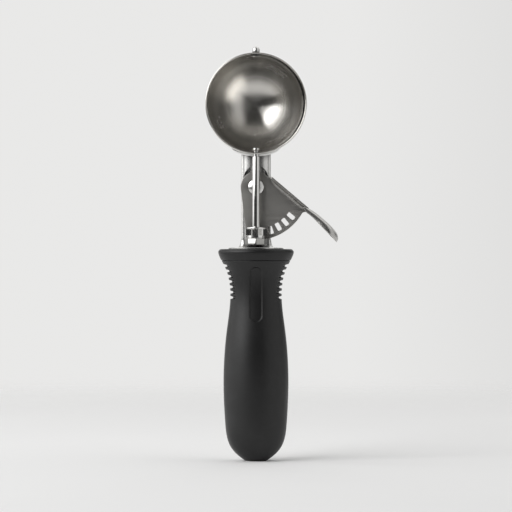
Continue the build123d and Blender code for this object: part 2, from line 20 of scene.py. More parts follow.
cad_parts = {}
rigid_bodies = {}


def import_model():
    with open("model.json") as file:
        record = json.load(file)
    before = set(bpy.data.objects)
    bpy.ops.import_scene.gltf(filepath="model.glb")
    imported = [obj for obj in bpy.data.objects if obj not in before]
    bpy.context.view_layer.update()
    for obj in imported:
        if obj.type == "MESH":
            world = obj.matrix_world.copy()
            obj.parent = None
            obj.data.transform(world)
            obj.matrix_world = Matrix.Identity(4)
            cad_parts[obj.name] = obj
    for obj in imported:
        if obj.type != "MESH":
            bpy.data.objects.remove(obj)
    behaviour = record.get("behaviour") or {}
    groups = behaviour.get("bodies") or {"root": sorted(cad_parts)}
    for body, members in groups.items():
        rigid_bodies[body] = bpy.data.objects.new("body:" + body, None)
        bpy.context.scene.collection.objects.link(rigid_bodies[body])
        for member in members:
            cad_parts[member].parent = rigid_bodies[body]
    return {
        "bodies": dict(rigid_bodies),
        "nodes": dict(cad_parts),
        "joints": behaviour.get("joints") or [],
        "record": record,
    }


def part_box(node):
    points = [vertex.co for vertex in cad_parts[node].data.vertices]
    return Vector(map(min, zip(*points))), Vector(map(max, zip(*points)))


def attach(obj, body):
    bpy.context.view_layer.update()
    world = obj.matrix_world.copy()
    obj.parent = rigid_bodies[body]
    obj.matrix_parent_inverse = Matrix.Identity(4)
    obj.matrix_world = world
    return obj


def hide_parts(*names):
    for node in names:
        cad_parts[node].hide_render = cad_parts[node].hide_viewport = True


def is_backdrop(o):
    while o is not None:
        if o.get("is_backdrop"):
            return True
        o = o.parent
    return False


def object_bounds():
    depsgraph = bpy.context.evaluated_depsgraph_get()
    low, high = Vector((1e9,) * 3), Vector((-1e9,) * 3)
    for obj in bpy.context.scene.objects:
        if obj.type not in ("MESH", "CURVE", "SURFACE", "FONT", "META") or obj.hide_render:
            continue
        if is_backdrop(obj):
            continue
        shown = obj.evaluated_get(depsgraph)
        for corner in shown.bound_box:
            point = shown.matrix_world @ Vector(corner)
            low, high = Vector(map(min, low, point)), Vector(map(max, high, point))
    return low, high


LOG = logging.getLogger("scoop")
MM = 0.001
MERGE = 2e-7
Array = np.ndarray
Loop = Array


# ================================================================ curves and grids
def smooth_line(knots: Array, start_way: Array, end_way: Array, count: int) -> Array:
    """Cubic line with steady curvature through knots, spaced by chord length.

    Between two knots the line is a Hermite cubic. The slopes at the knots solve the linear
    system that makes the second derivative continuous, with unit slopes given at both ends.

    Args:
        knots: Points, one row each.
        start_way: Direction at the first knot.
        end_way: Direction at the last knot.
        count: Number of points wanted.

    Returns:
        The line's points, one row each.
    """
    gaps = np.linalg.norm(np.diff(knots, axis=0), axis=1)
    rise = np.diff(knots, axis=0) / gaps[:, None]
    size = len(knots)
    system = np.zeros((size, size))
    right = np.zeros_like(knots)
    system[0, 0] = system[-1, -1] = 1.0
    right[0] = start_way / np.linalg.norm(start_way)
    right[-1] = end_way / np.linalg.norm(end_way)
    inner = np.arange(1, size - 1)
    system[inner, inner - 1] = gaps[1:]
    system[inner, inner] = 2 * (gaps[1:] + gaps[:-1])
    system[inner, inner + 1] = gaps[:-1]
    right[inner] = 3 * (gaps[1:, None] * rise[:-1] + gaps[:-1, None] * rise[1:])
    slopes = np.linalg.solve(system, right)
    places = np.concatenate([[0.0], np.cumsum(gaps)])
    wanted = np.linspace(0.0, places[-1], count)
    span = np.clip(np.searchsorted(places, wanted, side="right") - 1, 0, size - 2)
    t = ((wanted - places[span]) / gaps[span])[:, None]
    gap = gaps[span][:, None]
    return (
        (2 * t**3 - 3 * t**2 + 1) * knots[span]
        + (t**3 - 2 * t**2 + t) * gap * slopes[span]
        + (3 * t**2 - 2 * t**3) * knots[span + 1]
        + (t**3 - t**2) * gap * slopes[span + 1]
    )


def arc(centre: tuple[float, float], radius: float, start: float, end: float, count: int) -> Array:
    """Points of a circle's arc, angles in degrees from the first axis.

    Args:
        centre: Middle of the circle.
        radius: Its radius.
        start: Angle of the first point.
        end: Angle of the last point.
        count: Number of points.

    Returns:
        The points, one row each.
    """
    turn = np.radians(np.linspace(start, end, count))
    return np.stack([centre[0] + radius * np.cos(turn), centre[1] + radius * np.sin(turn)], 1)


def fillet_corner(before: Array, corner: Array, after: Array, radius: float, count: int) -> Array:
    """Arc that rounds a corner between two straight runs.

    The arc touches both runs at radius / tan(half the corner's angle) from the corner.

    Args:
        before: Point on the run that comes in.
        corner: The sharp corner.
        after: Point on the run that goes out.
        radius: Radius of the arc.
        count: Number of points.

    Returns:
        The arc's points, one row each.
    """
    way_in = (before - corner) / np.linalg.norm(before - corner)
    way_out = (after - corner) / np.linalg.norm(after - corner)
    half = math.acos(float(np.clip(way_in @ way_out, -1, 1))) / 2
    middle = way_in + way_out
    centre = corner + middle / np.linalg.norm(middle) * radius / math.sin(half)
    start = corner + way_in * radius / math.tan(half) - centre
    end = corner + way_out * radius / math.tan(half) - centre
    first = math.atan2(start[1], start[0])
    sweep = (math.atan2(end[1], end[0]) - first + math.pi) % (2 * math.pi) - math.pi
    return arc(tuple(centre), radius, math.degrees(first), math.degrees(first + sweep), count)


def smooth_step(value: Array, low: float, high: float) -> Array:
    """Rises from 0 at low to 1 at high with level ends, as 3t^2 - 2t^3."""
    t = np.clip((value - low) / (high - low), 0.0, 1.0)
    return t * t * (3 - 2 * t)


def grid_faces(rows: int, columns: int, wrap_rows: bool, wrap_columns: bool) -> Array:
    """Corner numbers of a grid's quads.

    Args:
        rows: Number of rows of points.
        columns: Number of points in a row.
        wrap_rows: Whether the last row meets the first.
        wrap_columns: Whether the last column meets the first.

    Returns:
        One row of four numbers for each quad.
    """
    row = np.arange(rows if wrap_rows else rows - 1)
    column = np.arange(columns if wrap_columns else columns - 1)
    low_row, low_column = np.meshgrid(row, column, indexing="ij")
    high_row = (low_row + 1) % rows
    high_column = (low_column + 1) % columns
    corners = [
        low_row * columns + low_column,
        low_row * columns + high_column,
        high_row * columns + high_column,
        high_row * columns + low_column,
    ]
    return np.stack(corners, -1).reshape(-1, 4)


def shade_smooth(mesh: bpy.types.Mesh, sharp_angle: float) -> None:
    """Shades a mesh smooth but for edges that turn by more than so many degrees."""
    mesh.polygons.foreach_set("use_smooth", np.ones(len(mesh.polygons), dtype=bool))
    mesh.set_sharp_from_angle(angle=math.radians(sharp_angle))


class Skin:
    """Points and faces of one closed piece, gathered patch by patch, in millimetres."""

    def __init__(self) -> None:
        """Starts an empty skin."""
        self.points: list[Array] = []
        self.faces: list[list[int]] = []
        self.count = 0

    def patch(self, grid: Array, wrap_rows: bool = False, wrap_columns: bool = False) -> None:
        """Adds a grid of points as a sheet of quads.

        Args:
            grid: Points by row and column.
            wrap_rows: Whether the last row meets the first.
            wrap_columns: Whether the last column meets the first.
        """
        rows, columns = grid.shape[:2]
        quads = grid_faces(rows, columns, wrap_rows, wrap_columns) + self.count
        self.faces.extend(quads.tolist())
        self.points.append(grid.reshape(-1, 3))
        self.count += rows * columns

    def cap(self, loops: list[Array]) -> None:
        """Fills a flat outline, with the later loops as its holes, by triangles.

        Args:
            loops: Rings of points, the outline first.
        """
        rings = [[Vector(point) for point in loop.tolist()] for loop in loops]
        triangles = np.array(tessellate_polygon(rings)) + self.count
        self.faces.extend(triangles.tolist())
        merged = np.concatenate(loops)
        self.points.append(merged)
        self.count += len(merged)

    def bar(self, rings: Array) -> None:
        """Adds rings of points as a bar, with both its ends filled."""
        self.patch(rings, wrap_columns=True)
        self.cap([rings[0]])
        self.cap([rings[-1]])

    def make(self, name: str, sharp_angle: float = 40.0) -> bpy.types.Object:
        """Merges the patches' seams and poles and puts the skin in the scene.

        Args:
            name: Name of the piece.
            sharp_angle: Edges that turn by more than this many degrees stay crisp.

        Returns:
            The new object, with its faces pointing outwards.
        """
        mesh = bpy.data.meshes.new(name)
        mesh.from_pydata(np.concatenate(self.points) * MM, [], self.faces)
        work = bmesh.new()
        work.from_mesh(mesh)
        bmesh.ops.remove_doubles(work, verts=work.verts, dist=MERGE)
        bmesh.ops.dissolve_degenerate(work, edges=work.edges, dist=MERGE)
        bmesh.ops.recalc_face_normals(work, faces=work.faces)
        work.to_mesh(mesh)
        work.free()
        shade_smooth(mesh, sharp_angle)
        piece = bpy.data.objects.new(name, mesh)
        bpy.context.scene.collection.objects.link(piece)
        return piece


class Axle(Enum):
    """Axis that a turned piece is turned about."""

    UP = 0
    FORWARD = 1


def turned(profile: Array, centre: tuple[float, float, float], axle: Axle, steps: int) -> Array:
    """Grid of a profile turned about an axis.

    A profile point at radius r and height h goes to r cos(a), r sin(a) across the axis and h
    along it, for each angle a.

    Args:
        profile: Radius and height, one row each.
        centre: Where radius and height are nought.
        axle: Axis to turn about.
        steps: Number of points in a turn.

    Returns:
        Points by profile row and angle.
    """
    turn = np.linspace(0, 2 * np.pi, steps, endpoint=False)
    across = profile[:, :1] * np.cos(turn)
    side = profile[:, :1] * np.sin(turn)
    along = np.broadcast_to(profile[:, 1:], across.shape)
    order = (across, side, along) if axle is Axle.UP else (across, along, side)
    return np.stack(order, -1) + np.array(centre)


def make_turned(
    name: str, profile: Array, centre: tuple[float, float, float], axle: Axle, steps: int
) -> bpy.types.Object:
    """Puts a closed turned piece in the scene.

    Args:
        name: Name of the piece.
        profile: Radius and height, one row each.
        centre: Where radius and height are nought.
        axle: Axis to turn about.
        steps: Number of points in a turn.

    Returns:
        The new object.
    """
    skin = Skin()
    skin.patch(turned(profile, centre, axle, steps), wrap_columns=True)
    return skin.make(name)


def rounded_profile(corners: list[tuple[float, float, float]], count: int = 5) -> Array:
    """Profile with each corner rounded by its own radius.

    Args:
        corners: First and second coordinate and corner radius, in order.
        count: Points in each rounded corner.

    Returns:
        The profile's points, one row each.
    """
    spots = np.array([corner[:2] for corner in corners])
    pieces = []
    for place, (first, second, radius) in enumerate(corners):
        if radius <= 0 or place in (0, len(corners) - 1):
            pieces.append(np.array([[first, second]]))
            continue
        pieces.append(
            fillet_corner(spots[place - 1], spots[place], spots[place + 1], radius, count)
        )
    return np.concatenate(pieces)


def ring_normals(loop: Loop) -> Array:
    """Directions that point out of a ring, square to the line between each point's neighbours.

    Args:
        loop: Counter-clockwise ring.

    Returns:
        One unit direction for each point.
    """
    along = np.roll(loop, -1, axis=0) - np.roll(loop, 1, axis=0)
    out = np.stack([along[:, 1], -along[:, 0]], 1)
    return out / np.linalg.norm(out, axis=1, keepdims=True)


def spaced(loop: Loop, step: float) -> Loop:
    """Ring with extra points spaced evenly on its long runs.

    Args:
        loop: Closed ring.
        step: Longest distance allowed between neighbours.

    Returns:
        The finer ring.
    """
    ends = np.roll(loop, -1, axis=0)
    lengths = np.linalg.norm(ends - loop, axis=1)
    parts = np.maximum(np.ceil(lengths / step).astype(int), 1)
    start = np.repeat(np.arange(len(loop)), parts)
    first = np.concatenate([[0], np.cumsum(parts)[:-1]])
    share = (np.arange(parts.sum()) - first[start]) / parts[start]
    return loop[start] + (ends[start] - loop[start]) * share[:, None]


# ================================================================ shader nodes
class Nodes:
    """Adds and links nodes in one shader tree."""

    def __init__(self, tree: bpy.types.NodeTree) -> None:
        """Works on the given tree."""
        self.tree = tree

    def add(self, kind: str, inputs: dict | None = None, **settings: object) -> bpy.types.Node:
        """Adds a node.

        Args:
            kind: Node type, without the leading ShaderNode.
            inputs: Values or output sockets by input name or number.
            **settings: Properties of the node.

        Returns:
            The new node.
        """
        node = self.tree.nodes.new("ShaderNode" + kind)
        for key, value in settings.items():
            setattr(node, key, value)
        for key, value in (inputs or {}).items():
            if isinstance(value, bpy.types.NodeSocket):
                self.link(value, node.inputs[key])
            else:
                node.inputs[key].default_value = value
        return node

    def link(self, source: bpy.types.NodeSocket, target: bpy.types.NodeSocket) -> None:
        """Joins an output socket to an input socket."""
        self.tree.links.new(source, target)

    def math(self, operation: str, *values: object) -> bpy.types.NodeSocket:
        """Output of a Math node over values or sockets."""
        return self.add("Math", dict(enumerate(values)), operation=operation).outputs[0]

    def group(self, tree: bpy.types.NodeTree, inputs: dict) -> bpy.types.Node:
        """Places a node group with its own values."""
        return self.add("Group", inputs, node_tree=tree)

    def noise(
        self, point: bpy.types.NodeSocket, scale: object, **settings: float
    ) -> bpy.types.NodeSocket:
        """Value of a noise at a point; the settings are inputs of its node by name."""
        return self.add("TexNoise", {"Vector": point, "Scale": scale, **settings}).outputs[0]

    def ramp(
        self, value: object, source: tuple, target: tuple = (0.0, 1.0), shape: str = "LINEAR"
    ) -> bpy.types.NodeSocket:
        """Maps a value from one range to another, held at both ends.

        Args:
            value: Value or socket to map.
            source: The range it comes in, as values or sockets.
            target: The range it goes out in.
            shape: Interpolation of the Map Range node.

        Returns:
            The mapped value.
        """
        inputs = dict(enumerate((value, *source, *target)))
        return self.add("MapRange", inputs, interpolation_type=shape).outputs[0]

    def tint(self, share: object, low: object, high: object) -> bpy.types.NodeSocket:
        """Mixes two colours, each three parts or a socket, by a share."""
        first, last = (
            colour if isinstance(colour, bpy.types.NodeSocket) else (*colour, 1.0)
            for colour in (low, high)
        )
        return self.add("Mix", {0: share, 6: first, 7: last}, data_type="RGBA").outputs[2]

    def blend(self, share: object, low: object, high: object) -> bpy.types.NodeSocket:
        """Mixes two numbers or sockets by a share."""
        return self.add("Mix", {0: share, 2: low, 3: high}, data_type="FLOAT").outputs[0]

    def length(self, first: object, second: object) -> bpy.types.NodeSocket:
        """Root of the sum of two squares."""
        squares = [self.math("MULTIPLY", part, part) for part in (first, second)]
        return self.math("SQRT", self.math("ADD", *squares))

    def bump(
        self, strength: float, distance: float, height: bpy.types.NodeSocket
    ) -> bpy.types.NodeSocket:
        """Normal tilted by a height, which is at most distance metres high."""
        inputs = {"Strength": strength, "Distance": distance, "Height": height}
        return self.add("Bump", inputs).outputs[0]


def new_material(name: str) -> tuple[bpy.types.Material, Nodes, bpy.types.Node]:
    """Starts a material.

    Args:
        name: Name of the material.

    Returns:
        The material, its node maker and its main shader.
    """
    material = bpy.data.materials.new(name)
    material.use_nodes = True
    tree = material.node_tree
    return material, Nodes(tree), tree.nodes["Principled BSDF"]


SOCKETS = {"float": "NodeSocketFloat", "vector": "NodeSocketVector", "colour": "NodeSocketColor"}


def new_group(
    name: str, inputs: dict[str, tuple[str, object]], outputs: dict[str, str]
) -> tuple[bpy.types.NodeTree, Nodes, bpy.types.Node, bpy.types.Node]:
    """Starts a shader node group.

    Args:
        name: Name of the group.
        inputs: Kind and value of each input by name.
        outputs: Kind of each output by name.

    Returns:
        The group, its node maker, and its input and output nodes.
    """
    tree = bpy.data.node_groups.new(name, "ShaderNodeTree")
    for label, (kind, value) in inputs.items():
        socket = tree.interface.new_socket(label, in_out="INPUT", socket_type=SOCKETS[kind])
        if value is not None:
            socket.default_value = value
    for label, kind in outputs.items():
        tree.interface.new_socket(label, in_out="OUTPUT", socket_type=SOCKETS[kind])
    start = tree.nodes.new("NodeGroupInput")
    end = tree.nodes.new("NodeGroupOutput")
    return tree, Nodes(tree), start, end


class Effects:
    """The surface effects that several finishes share, each built once as a node group."""

    FINE_DETAIL = 4.0
    WIDE_DETAIL = 2.0
    WIDE_LINES = 0.12
    FINE_SHARE = 0.65
    TONE_RANGE = (0.38, 0.62)
    SMUDGE_CLOUD = {"Detail": 5.0, "Roughness": 0.62, "Distortion": 0.6}
    SMUDGE_START = 0.72
    SMUDGE_SPREAD = 0.4
    SMUDGE_EDGE = 0.22
    WEAR_GRAIN = 900.0
    WEAR_BASE = 0.3
    OPEN_TO_SHUT = (0.95, 0.35)
    FUZZ_GRAIN = 0.6
    FUZZ_DETAIL = 3.0
    SLOW_GRAIN = 45.0
    CELL_SHARE = 0.5

    def __init__(self) -> None:
        """Builds every group."""
        self.turned_path = self._turned_path()
        self.brushing = self._brushing()
        self.smudges = self._smudges()
        self.edge_wear = self._edge_wear()
        self.painted_crevice_shade = self._painted_crevice_shade()
        self.moulded_skin = self._moulded_skin()

    def _turned_path(self) -> bpy.types.NodeTree:
        """Coordinates that stay the same round a turned piece: distance from Y axis, and Y.

        Returns:
            The group.
        """
        tree, nodes, start, end = new_group(
            "turned_path",
            {"Point": ("vector", None), "Middle": ("vector", (0.0, 0.0, 0.0))},
            {"Path": "vector"},
        )
        offset = nodes.add(
            "VectorMath",
            {0: start.outputs["Point"], 1: start.outputs["Middle"]},
            operation="SUBTRACT",
        )
        parts = nodes.add("SeparateXYZ", {0: offset.outputs[0]})
        across = nodes.length(parts.outputs[0], parts.outputs[2])
        path = nodes.add("CombineXYZ", {0: across, 1: parts.outputs[1]})
        nodes.link(path.outputs[0], end.inputs["Path"])
        return tree

    def _brushing(self) -> bpy.types.NodeTree:
        """Fine scratches across the path's first axis: a coarse and a fine noise, summed.

        Returns:
            The group.
        """
        tree, nodes, start, end = new_group(
            "brushing",
            {"Path": ("vector", None), "Lines": ("float", 1.0)},
            {"Height": "float", "Tone": "float"},
        )
        path, lines = start.outputs["Path"], start.outputs["Lines"]
        fine = nodes.noise(path, lines, Detail=self.FINE_DETAIL)
        coarse = nodes.math("MULTIPLY", lines, self.WIDE_LINES)
        wide = nodes.noise(path, coarse, Detail=self.WIDE_DETAIL)
        both = nodes.math(
            "ADD",
            nodes.math("MULTIPLY", fine, self.FINE_SHARE),
            nodes.math("MULTIPLY", wide, 1.0 - self.FINE_SHARE),
        )
        nodes.link(both, end.inputs["Height"])
        nodes.link(nodes.ramp(both, self.TONE_RANGE), end.inputs["Tone"])
        return tree

    def _smudges(self) -> bpy.types.NodeTree:
        """Soft patches of handling: low noise, sharpened to a mask.

        Returns:
            The group.
        """
        tree, nodes, start, end = new_group(
            "smudges",
            {"Point": ("vector", None), "Patches": ("float", 60.0), "Cover": ("float", 0.5)},
            {"Mask": "float"},
        )
        point, patches = start.outputs["Point"], start.outputs["Patches"]
        cloud = nodes.noise(point, patches, **self.SMUDGE_CLOUD)
        drop = nodes.math("MULTIPLY", start.outputs["Cover"], self.SMUDGE_SPREAD)
        low = nodes.math("SUBTRACT", self.SMUDGE_START, drop)
        high = nodes.math("ADD", low, self.SMUDGE_EDGE)
        nodes.link(nodes.ramp(cloud, (low, high)), end.inputs["Mask"])
        return tree

    def _edge_wear(self) -> bpy.types.NodeTree:
        """Mask of the rubbed edges, where the rounded normal leaves the true one.

        Returns:
            The group.
        """
        tree, nodes, start, end = new_group(
            "edge_wear",
            {"Point": ("vector", None), "Width": ("float", 0.0004), "Gain": ("float", 6.0)},
            {"Mask": "float"},
        )
        rounded = nodes.add("Bevel", {"Radius": start.outputs["Width"]}, samples=4)
        plain = nodes.add("NewGeometry")
        match = nodes.add(
            "VectorMath",
            {0: rounded.outputs[0], 1: plain.outputs["Normal"]},
            operation="DOT_PRODUCT",
        )
        away = nodes.math("SUBTRACT", 1.0, match.outputs["Value"])
        broken = nodes.noise(start.outputs["Point"], self.WEAR_GRAIN)
        gain = nodes.math("MULTIPLY", away, start.outputs["Gain"])
        mask = nodes.add(
            "Math",
            {0: gain, 1: nodes.math("ADD", broken, self.WEAR_BASE)},
            operation="MULTIPLY",
            use_clamp=True,
        )
        nodes.link(mask.outputs[0], end.inputs["Mask"])
        return tree

    def _painted_crevice_shade(self) -> bpy.types.NodeTree:
        """Mask of the places close to another surface, where the colour is darkened as painted
        shade.

        Returns:
            The group.
        """
        tree, nodes, start, end = new_group(
            "painted_crevice_shade", {"Reach": ("float", 0.004)}, {"Mask": "float"}
        )
        # Ambient occlusion marks where the painted shade goes.
        shade = nodes.add("AmbientOcclusion", {"Distance": start.outputs["Reach"]}, samples=8)
        nodes.link(nodes.ramp(shade.outputs["AO"], self.OPEN_TO_SHUT), end.inputs["Mask"])
        return tree

    def _moulded_skin(self) -> bpy.types.NodeTree:
        """Fine spark-eroded texture of moulded rubber: cells and noise, with a slow tone.

        Returns:
            The group.
        """
        tree, nodes, start, end = new_group(
            "moulded_skin",
            {"Point": ("vector", None), "Grain": ("float", 2500.0)},
            {"Height": "float", "Tone": "float"},
        )
        point, grain = start.outputs["Point"], start.outputs["Grain"]
        cells = nodes.add("TexVoronoi", {"Vector": point, "Scale": grain})
        finer = nodes.math("MULTIPLY", grain, self.FUZZ_GRAIN)
        fuzz = nodes.noise(point, finer, Detail=self.FUZZ_DETAIL)
        slow = nodes.noise(point, self.SLOW_GRAIN, Detail=self.FINE_DETAIL)
        pits = nodes.math("MULTIPLY", cells.outputs[0], self.CELL_SHARE)
        nodes.link(nodes.math("ADD", pits, fuzz), end.inputs["Height"])
        nodes.link(slow, end.inputs["Tone"])
        return tree


# ================================================================ finishes
class GrainPath(Enum):
    """How the brushing runs over a steel piece."""

    TURNED = "round the bowl's axis"
    STRAIGHT = "along one direction"


Colour = tuple[float, float, float]


@dataclass(frozen=True)
class SteelFinish:
    """Look of one kind of steel surface."""

    name: str
    colour: Colour
    shade: Colour
    roughness: float
    spread: float
    path: GrainPath
    lines: float
    stretch: Colour = (1.0, 1.0, 1.0)
    slope: float = 0.0
    relief: float = 0.15
    anisotropy: float = 0.0
    smudge: float = 0.05
    wear: float = 0.25
    # Painted shade: how strongly, how far and to what colour the steel is darkened near other
    # surfaces.
    painted_shade: float = 0.0
    painted_shade_reach: float = 0.005
    painted_shade_colour: Colour = (0.02, 0.02, 0.02)
    patches: float = 70.0
    cover: float = 0.5
    rubbed: float = 1.18
    scratch_depth: float = 0.00002
    quarter_turn: float = 0.25

    def make(self, effects: Effects, middle: Colour) -> bpy.types.Material:
        """Builds the material.

        Args:
            effects: The shared node groups.
            middle: Point that turned brushing runs round, in metres.

        Returns:
            The new material.
        """
        material, nodes, shader = new_material(self.name)
        point = nodes.add("TexCoord").outputs["Object"]
        if self.path is GrainPath.TURNED:
            path = nodes.group(effects.turned_path, {"Point": point, "Middle": middle}).outputs[0]
        else:
            turn = (0.0, math.radians(self.slope), 0.0)
            path = nodes.add(
                "Mapping", {"Vector": point, "Rotation": turn, "Scale": self.stretch}
            ).outputs[0]
        brushing = nodes.group(effects.brushing, {"Path": path, "Lines": self.lines})
        handled = {"Point": point, "Patches": self.patches, "Cover": self.cover}
        smudges = nodes.group(effects.smudges, handled)
        wear = nodes.group(effects.edge_wear, {"Point": point})
        bright = tuple(min(1.0, self.rubbed * part) for part in self.colour)
        brushed = nodes.tint(brushing.outputs["Tone"], self.shade, self.colour)
        rubbed = nodes.math("MULTIPLY", wear.outputs["Mask"], self.wear)
        finish = nodes.tint(rubbed, brushed, bright)
        # Darkens the colour near other surfaces as painted shade.
        if self.painted_shade:
            painted_crevice_shade = nodes.group(effects.painted_crevice_shade, {"Reach": self.painted_shade_reach})
            painted_shade_share = nodes.math("MULTIPLY", painted_crevice_shade.outputs["Mask"], self.painted_shade)
            finish = nodes.tint(painted_shade_share, finish, self.painted_shade_colour)
        around = (self.roughness - self.spread, self.roughness + self.spread)
        rough = nodes.ramp(brushing.outputs["Tone"], (0.0, 1.0), around)
        greasy = nodes.math("MULTIPLY", smudges.outputs["Mask"], self.smudge)
        bump = nodes.bump(self.relief, self.scratch_depth, brushing.outputs["Height"])
        nodes.link(finish, shader.inputs["Base Color"])
        nodes.link(nodes.math("ADD", rough, greasy), shader.inputs["Roughness"])
        nodes.link(bump, shader.inputs["Normal"])
        shader.inputs["Metallic"].default_value = 1.0
        if self.anisotropy:
            shader.inputs["Anisotropic"].default_value = self.anisotropy
            shader.inputs["Anisotropic Rotation"].default_value = self.quarter_turn
            # The scratches run round the bowl's axis, so the tangent does too.
            tangent = nodes.add("Tangent", direction_type="RADIAL", axis="Y")
            nodes.link(tangent.outputs[0], shader.inputs["Tangent"])
        return material


@dataclass(frozen=True)
class MouldedFinish:
    """Look of a moulded rubber or plastic surface."""

    name: str
    colour: Colour
    dusty: Colour
    roughness: float
    grain: float
    relief: float
    dust: float = 0.35
    specular: float = 0.5
    patches: float = 110.0
    cover: float = 0.6
    wear: float = 0.25
    wear_width: float = 0.0006
    wear_gain: float = 3.0
    tones: tuple[float, float] = (0.3, 0.7)
    spread: float = 0.05
    pit_depth: float = 0.00006

    def make(self, effects: Effects) -> bpy.types.Material:
        """Builds the material.

        Args:
            effects: The shared node groups.

        Returns:
            The new material.
        """
        material, nodes, shader = new_material(self.name)
        point = nodes.add("TexCoord").outputs["Object"]
        skin = nodes.group(effects.moulded_skin, {"Point": point, "Grain": self.grain})
        dusted = {"Point": point, "Patches": self.patches, "Cover": self.cover}
        dust = nodes.group(effects.smudges, dusted)
        rubbed = {"Point": point, "Width": self.wear_width, "Gain": self.wear_gain}
        wear = nodes.group(effects.edge_wear, rubbed)
        haze = nodes.math(
            "ADD",
            nodes.math("MULTIPLY", dust.outputs["Mask"], self.dust),
            nodes.math("MULTIPLY", wear.outputs["Mask"], self.wear),
        )
        around = (self.roughness - self.spread, self.roughness + self.spread)
        rough = nodes.ramp(skin.outputs["Tone"], self.tones, around)
        bump = nodes.bump(self.relief, self.pit_depth, skin.outputs["Height"])
        nodes.link(nodes.tint(haze, self.colour, self.dusty), shader.inputs["Base Color"])
        nodes.link(rough, shader.inputs["Roughness"])
        nodes.link(bump, shader.inputs["Normal"])
        shader.inputs["Specular IOR Level"].default_value = self.specular
        return material


@dataclass(frozen=True)
class Finishes:
    """Every material of the scoop, built once."""

    spun_steel: bpy.types.Material
    polished_steel: bpy.types.Material
    lever_steel: bpy.types.Material
    buffed_steel: bpy.types.Material
    turned_steel: bpy.types.Material
    shaded_bush_steel: bpy.types.Material
    # Darker copy of turned_steel for the bush, as painted shade.
    spring_steel: bpy.types.Material
    grip_rubber: bpy.types.Material
    core_plastic: bpy.types.Material


def make_finishes(effects: Effects, bowl_middle: Colour, flange_slope: float) -> Finishes:
    """Builds the finishes.

    Args:
        effects: The shared node groups.
        bowl_middle: Centre of the bowl, in metres.
        flange_slope: Slope of the lever's flange, in degrees.

    Returns:
        All the materials.
    """
    # The painted_shade values below darken each steel near other surfaces as painted shade.
    spun = SteelFinish(
        "spun_steel", colour=(0.75, 0.73, 0.695), shade=(0.68, 0.66, 0.625),
        roughness=0.23, spread=0.03, path=GrainPath.TURNED, lines=900.0, relief=0.08,
        anisotropy=0.78, smudge=0.05, painted_shade=0.92, painted_shade_reach=0.002,
    )
    polished = SteelFinish(
        "polished_steel", colour=(0.80, 0.795, 0.78), shade=(0.74, 0.735, 0.72),
        roughness=0.24, spread=0.03, path=GrainPath.STRAIGHT, lines=1500.0,
        stretch=(1.0, 1.0, 0.03), relief=0.06, smudge=0.06, painted_shade=0.85, painted_shade_reach=0.0045,
    )
    lever = SteelFinish(
        "lever_steel", colour=(0.44, 0.43, 0.41), shade=(0.41, 0.40, 0.382),
        roughness=0.43, spread=0.02, path=GrainPath.STRAIGHT, lines=2600.0,
        stretch=(0.12, 1.0, 1.0), slope=-flange_slope, relief=0.05, smudge=0.03,
        painted_shade=0.6, painted_shade_reach=0.006,
    )
    buffed = SteelFinish(
        "buffed_steel", colour=(0.56, 0.552, 0.535), shade=(0.53, 0.522, 0.505),
        roughness=0.3, spread=0.03, path=GrainPath.STRAIGHT, lines=2000.0, relief=0.05,
        smudge=0.08,
    )
    lathe = SteelFinish(
        "turned_steel", colour=(0.82, 0.815, 0.80), shade=(0.74, 0.735, 0.72),
        roughness=0.1, spread=0.03, path=GrainPath.STRAIGHT, lines=1500.0,
        stretch=(0.05, 0.05, 1.0), relief=0.08, smudge=0.04,
    )
    # Same turned steel as above, painted darker for the bush as painted shade.
    shaded_bush = SteelFinish(
        "shaded_bush_steel", colour=(0.46, 0.455, 0.44), shade=(0.40, 0.395, 0.38),
        roughness=0.14, spread=0.03, path=GrainPath.STRAIGHT, lines=1500.0,
        stretch=(0.05, 0.05, 1.0), relief=0.08, smudge=0.04, painted_shade=0.8, painted_shade_reach=0.004,
    )
    spring = SteelFinish(
        "spring_steel", colour=(0.34, 0.335, 0.33), shade=(0.22, 0.215, 0.21),
        roughness=0.4, spread=0.06, path=GrainPath.STRAIGHT, lines=1200.0, relief=0.2,
        smudge=0.1,
    )
    rubber = MouldedFinish(
        "grip_rubber", colour=(0.006, 0.006, 0.0062), dusty=(0.02, 0.02, 0.021),
        roughness=0.4, grain=2600.0, relief=0.3, dust=0.25, specular=0.46,
    )
    plastic = MouldedFinish(
        "core_plastic", colour=(0.03, 0.03, 0.032), dusty=(0.06, 0.06, 0.062),
        roughness=0.6, grain=1800.0, relief=0.2,
    )
    steels = (spun, polished, lever, buffed, lathe, shaded_bush, spring)
    return Finishes(
        *(steel.make(effects, bowl_middle) for steel in steels),
        *(moulded.make(effects) for moulded in (rubber, plastic)),
    )


# ================================================================ placing pieces
class Box(NamedTuple):
    """Lowest and highest corner of a piece, in millimetres."""

    low: Array
    high: Array

    @property
    def bottom(self) -> float:
        """Height of the lowest point."""
        return float(self.low[2])

    @property
    def top(self) -> float:
        """Height of the highest point."""
        return float(self.high[2])

    def middle(self, axis: int) -> float:
        """Place of the middle along an axis."""
        return float(self.low[axis] + self.high[axis]) / 2


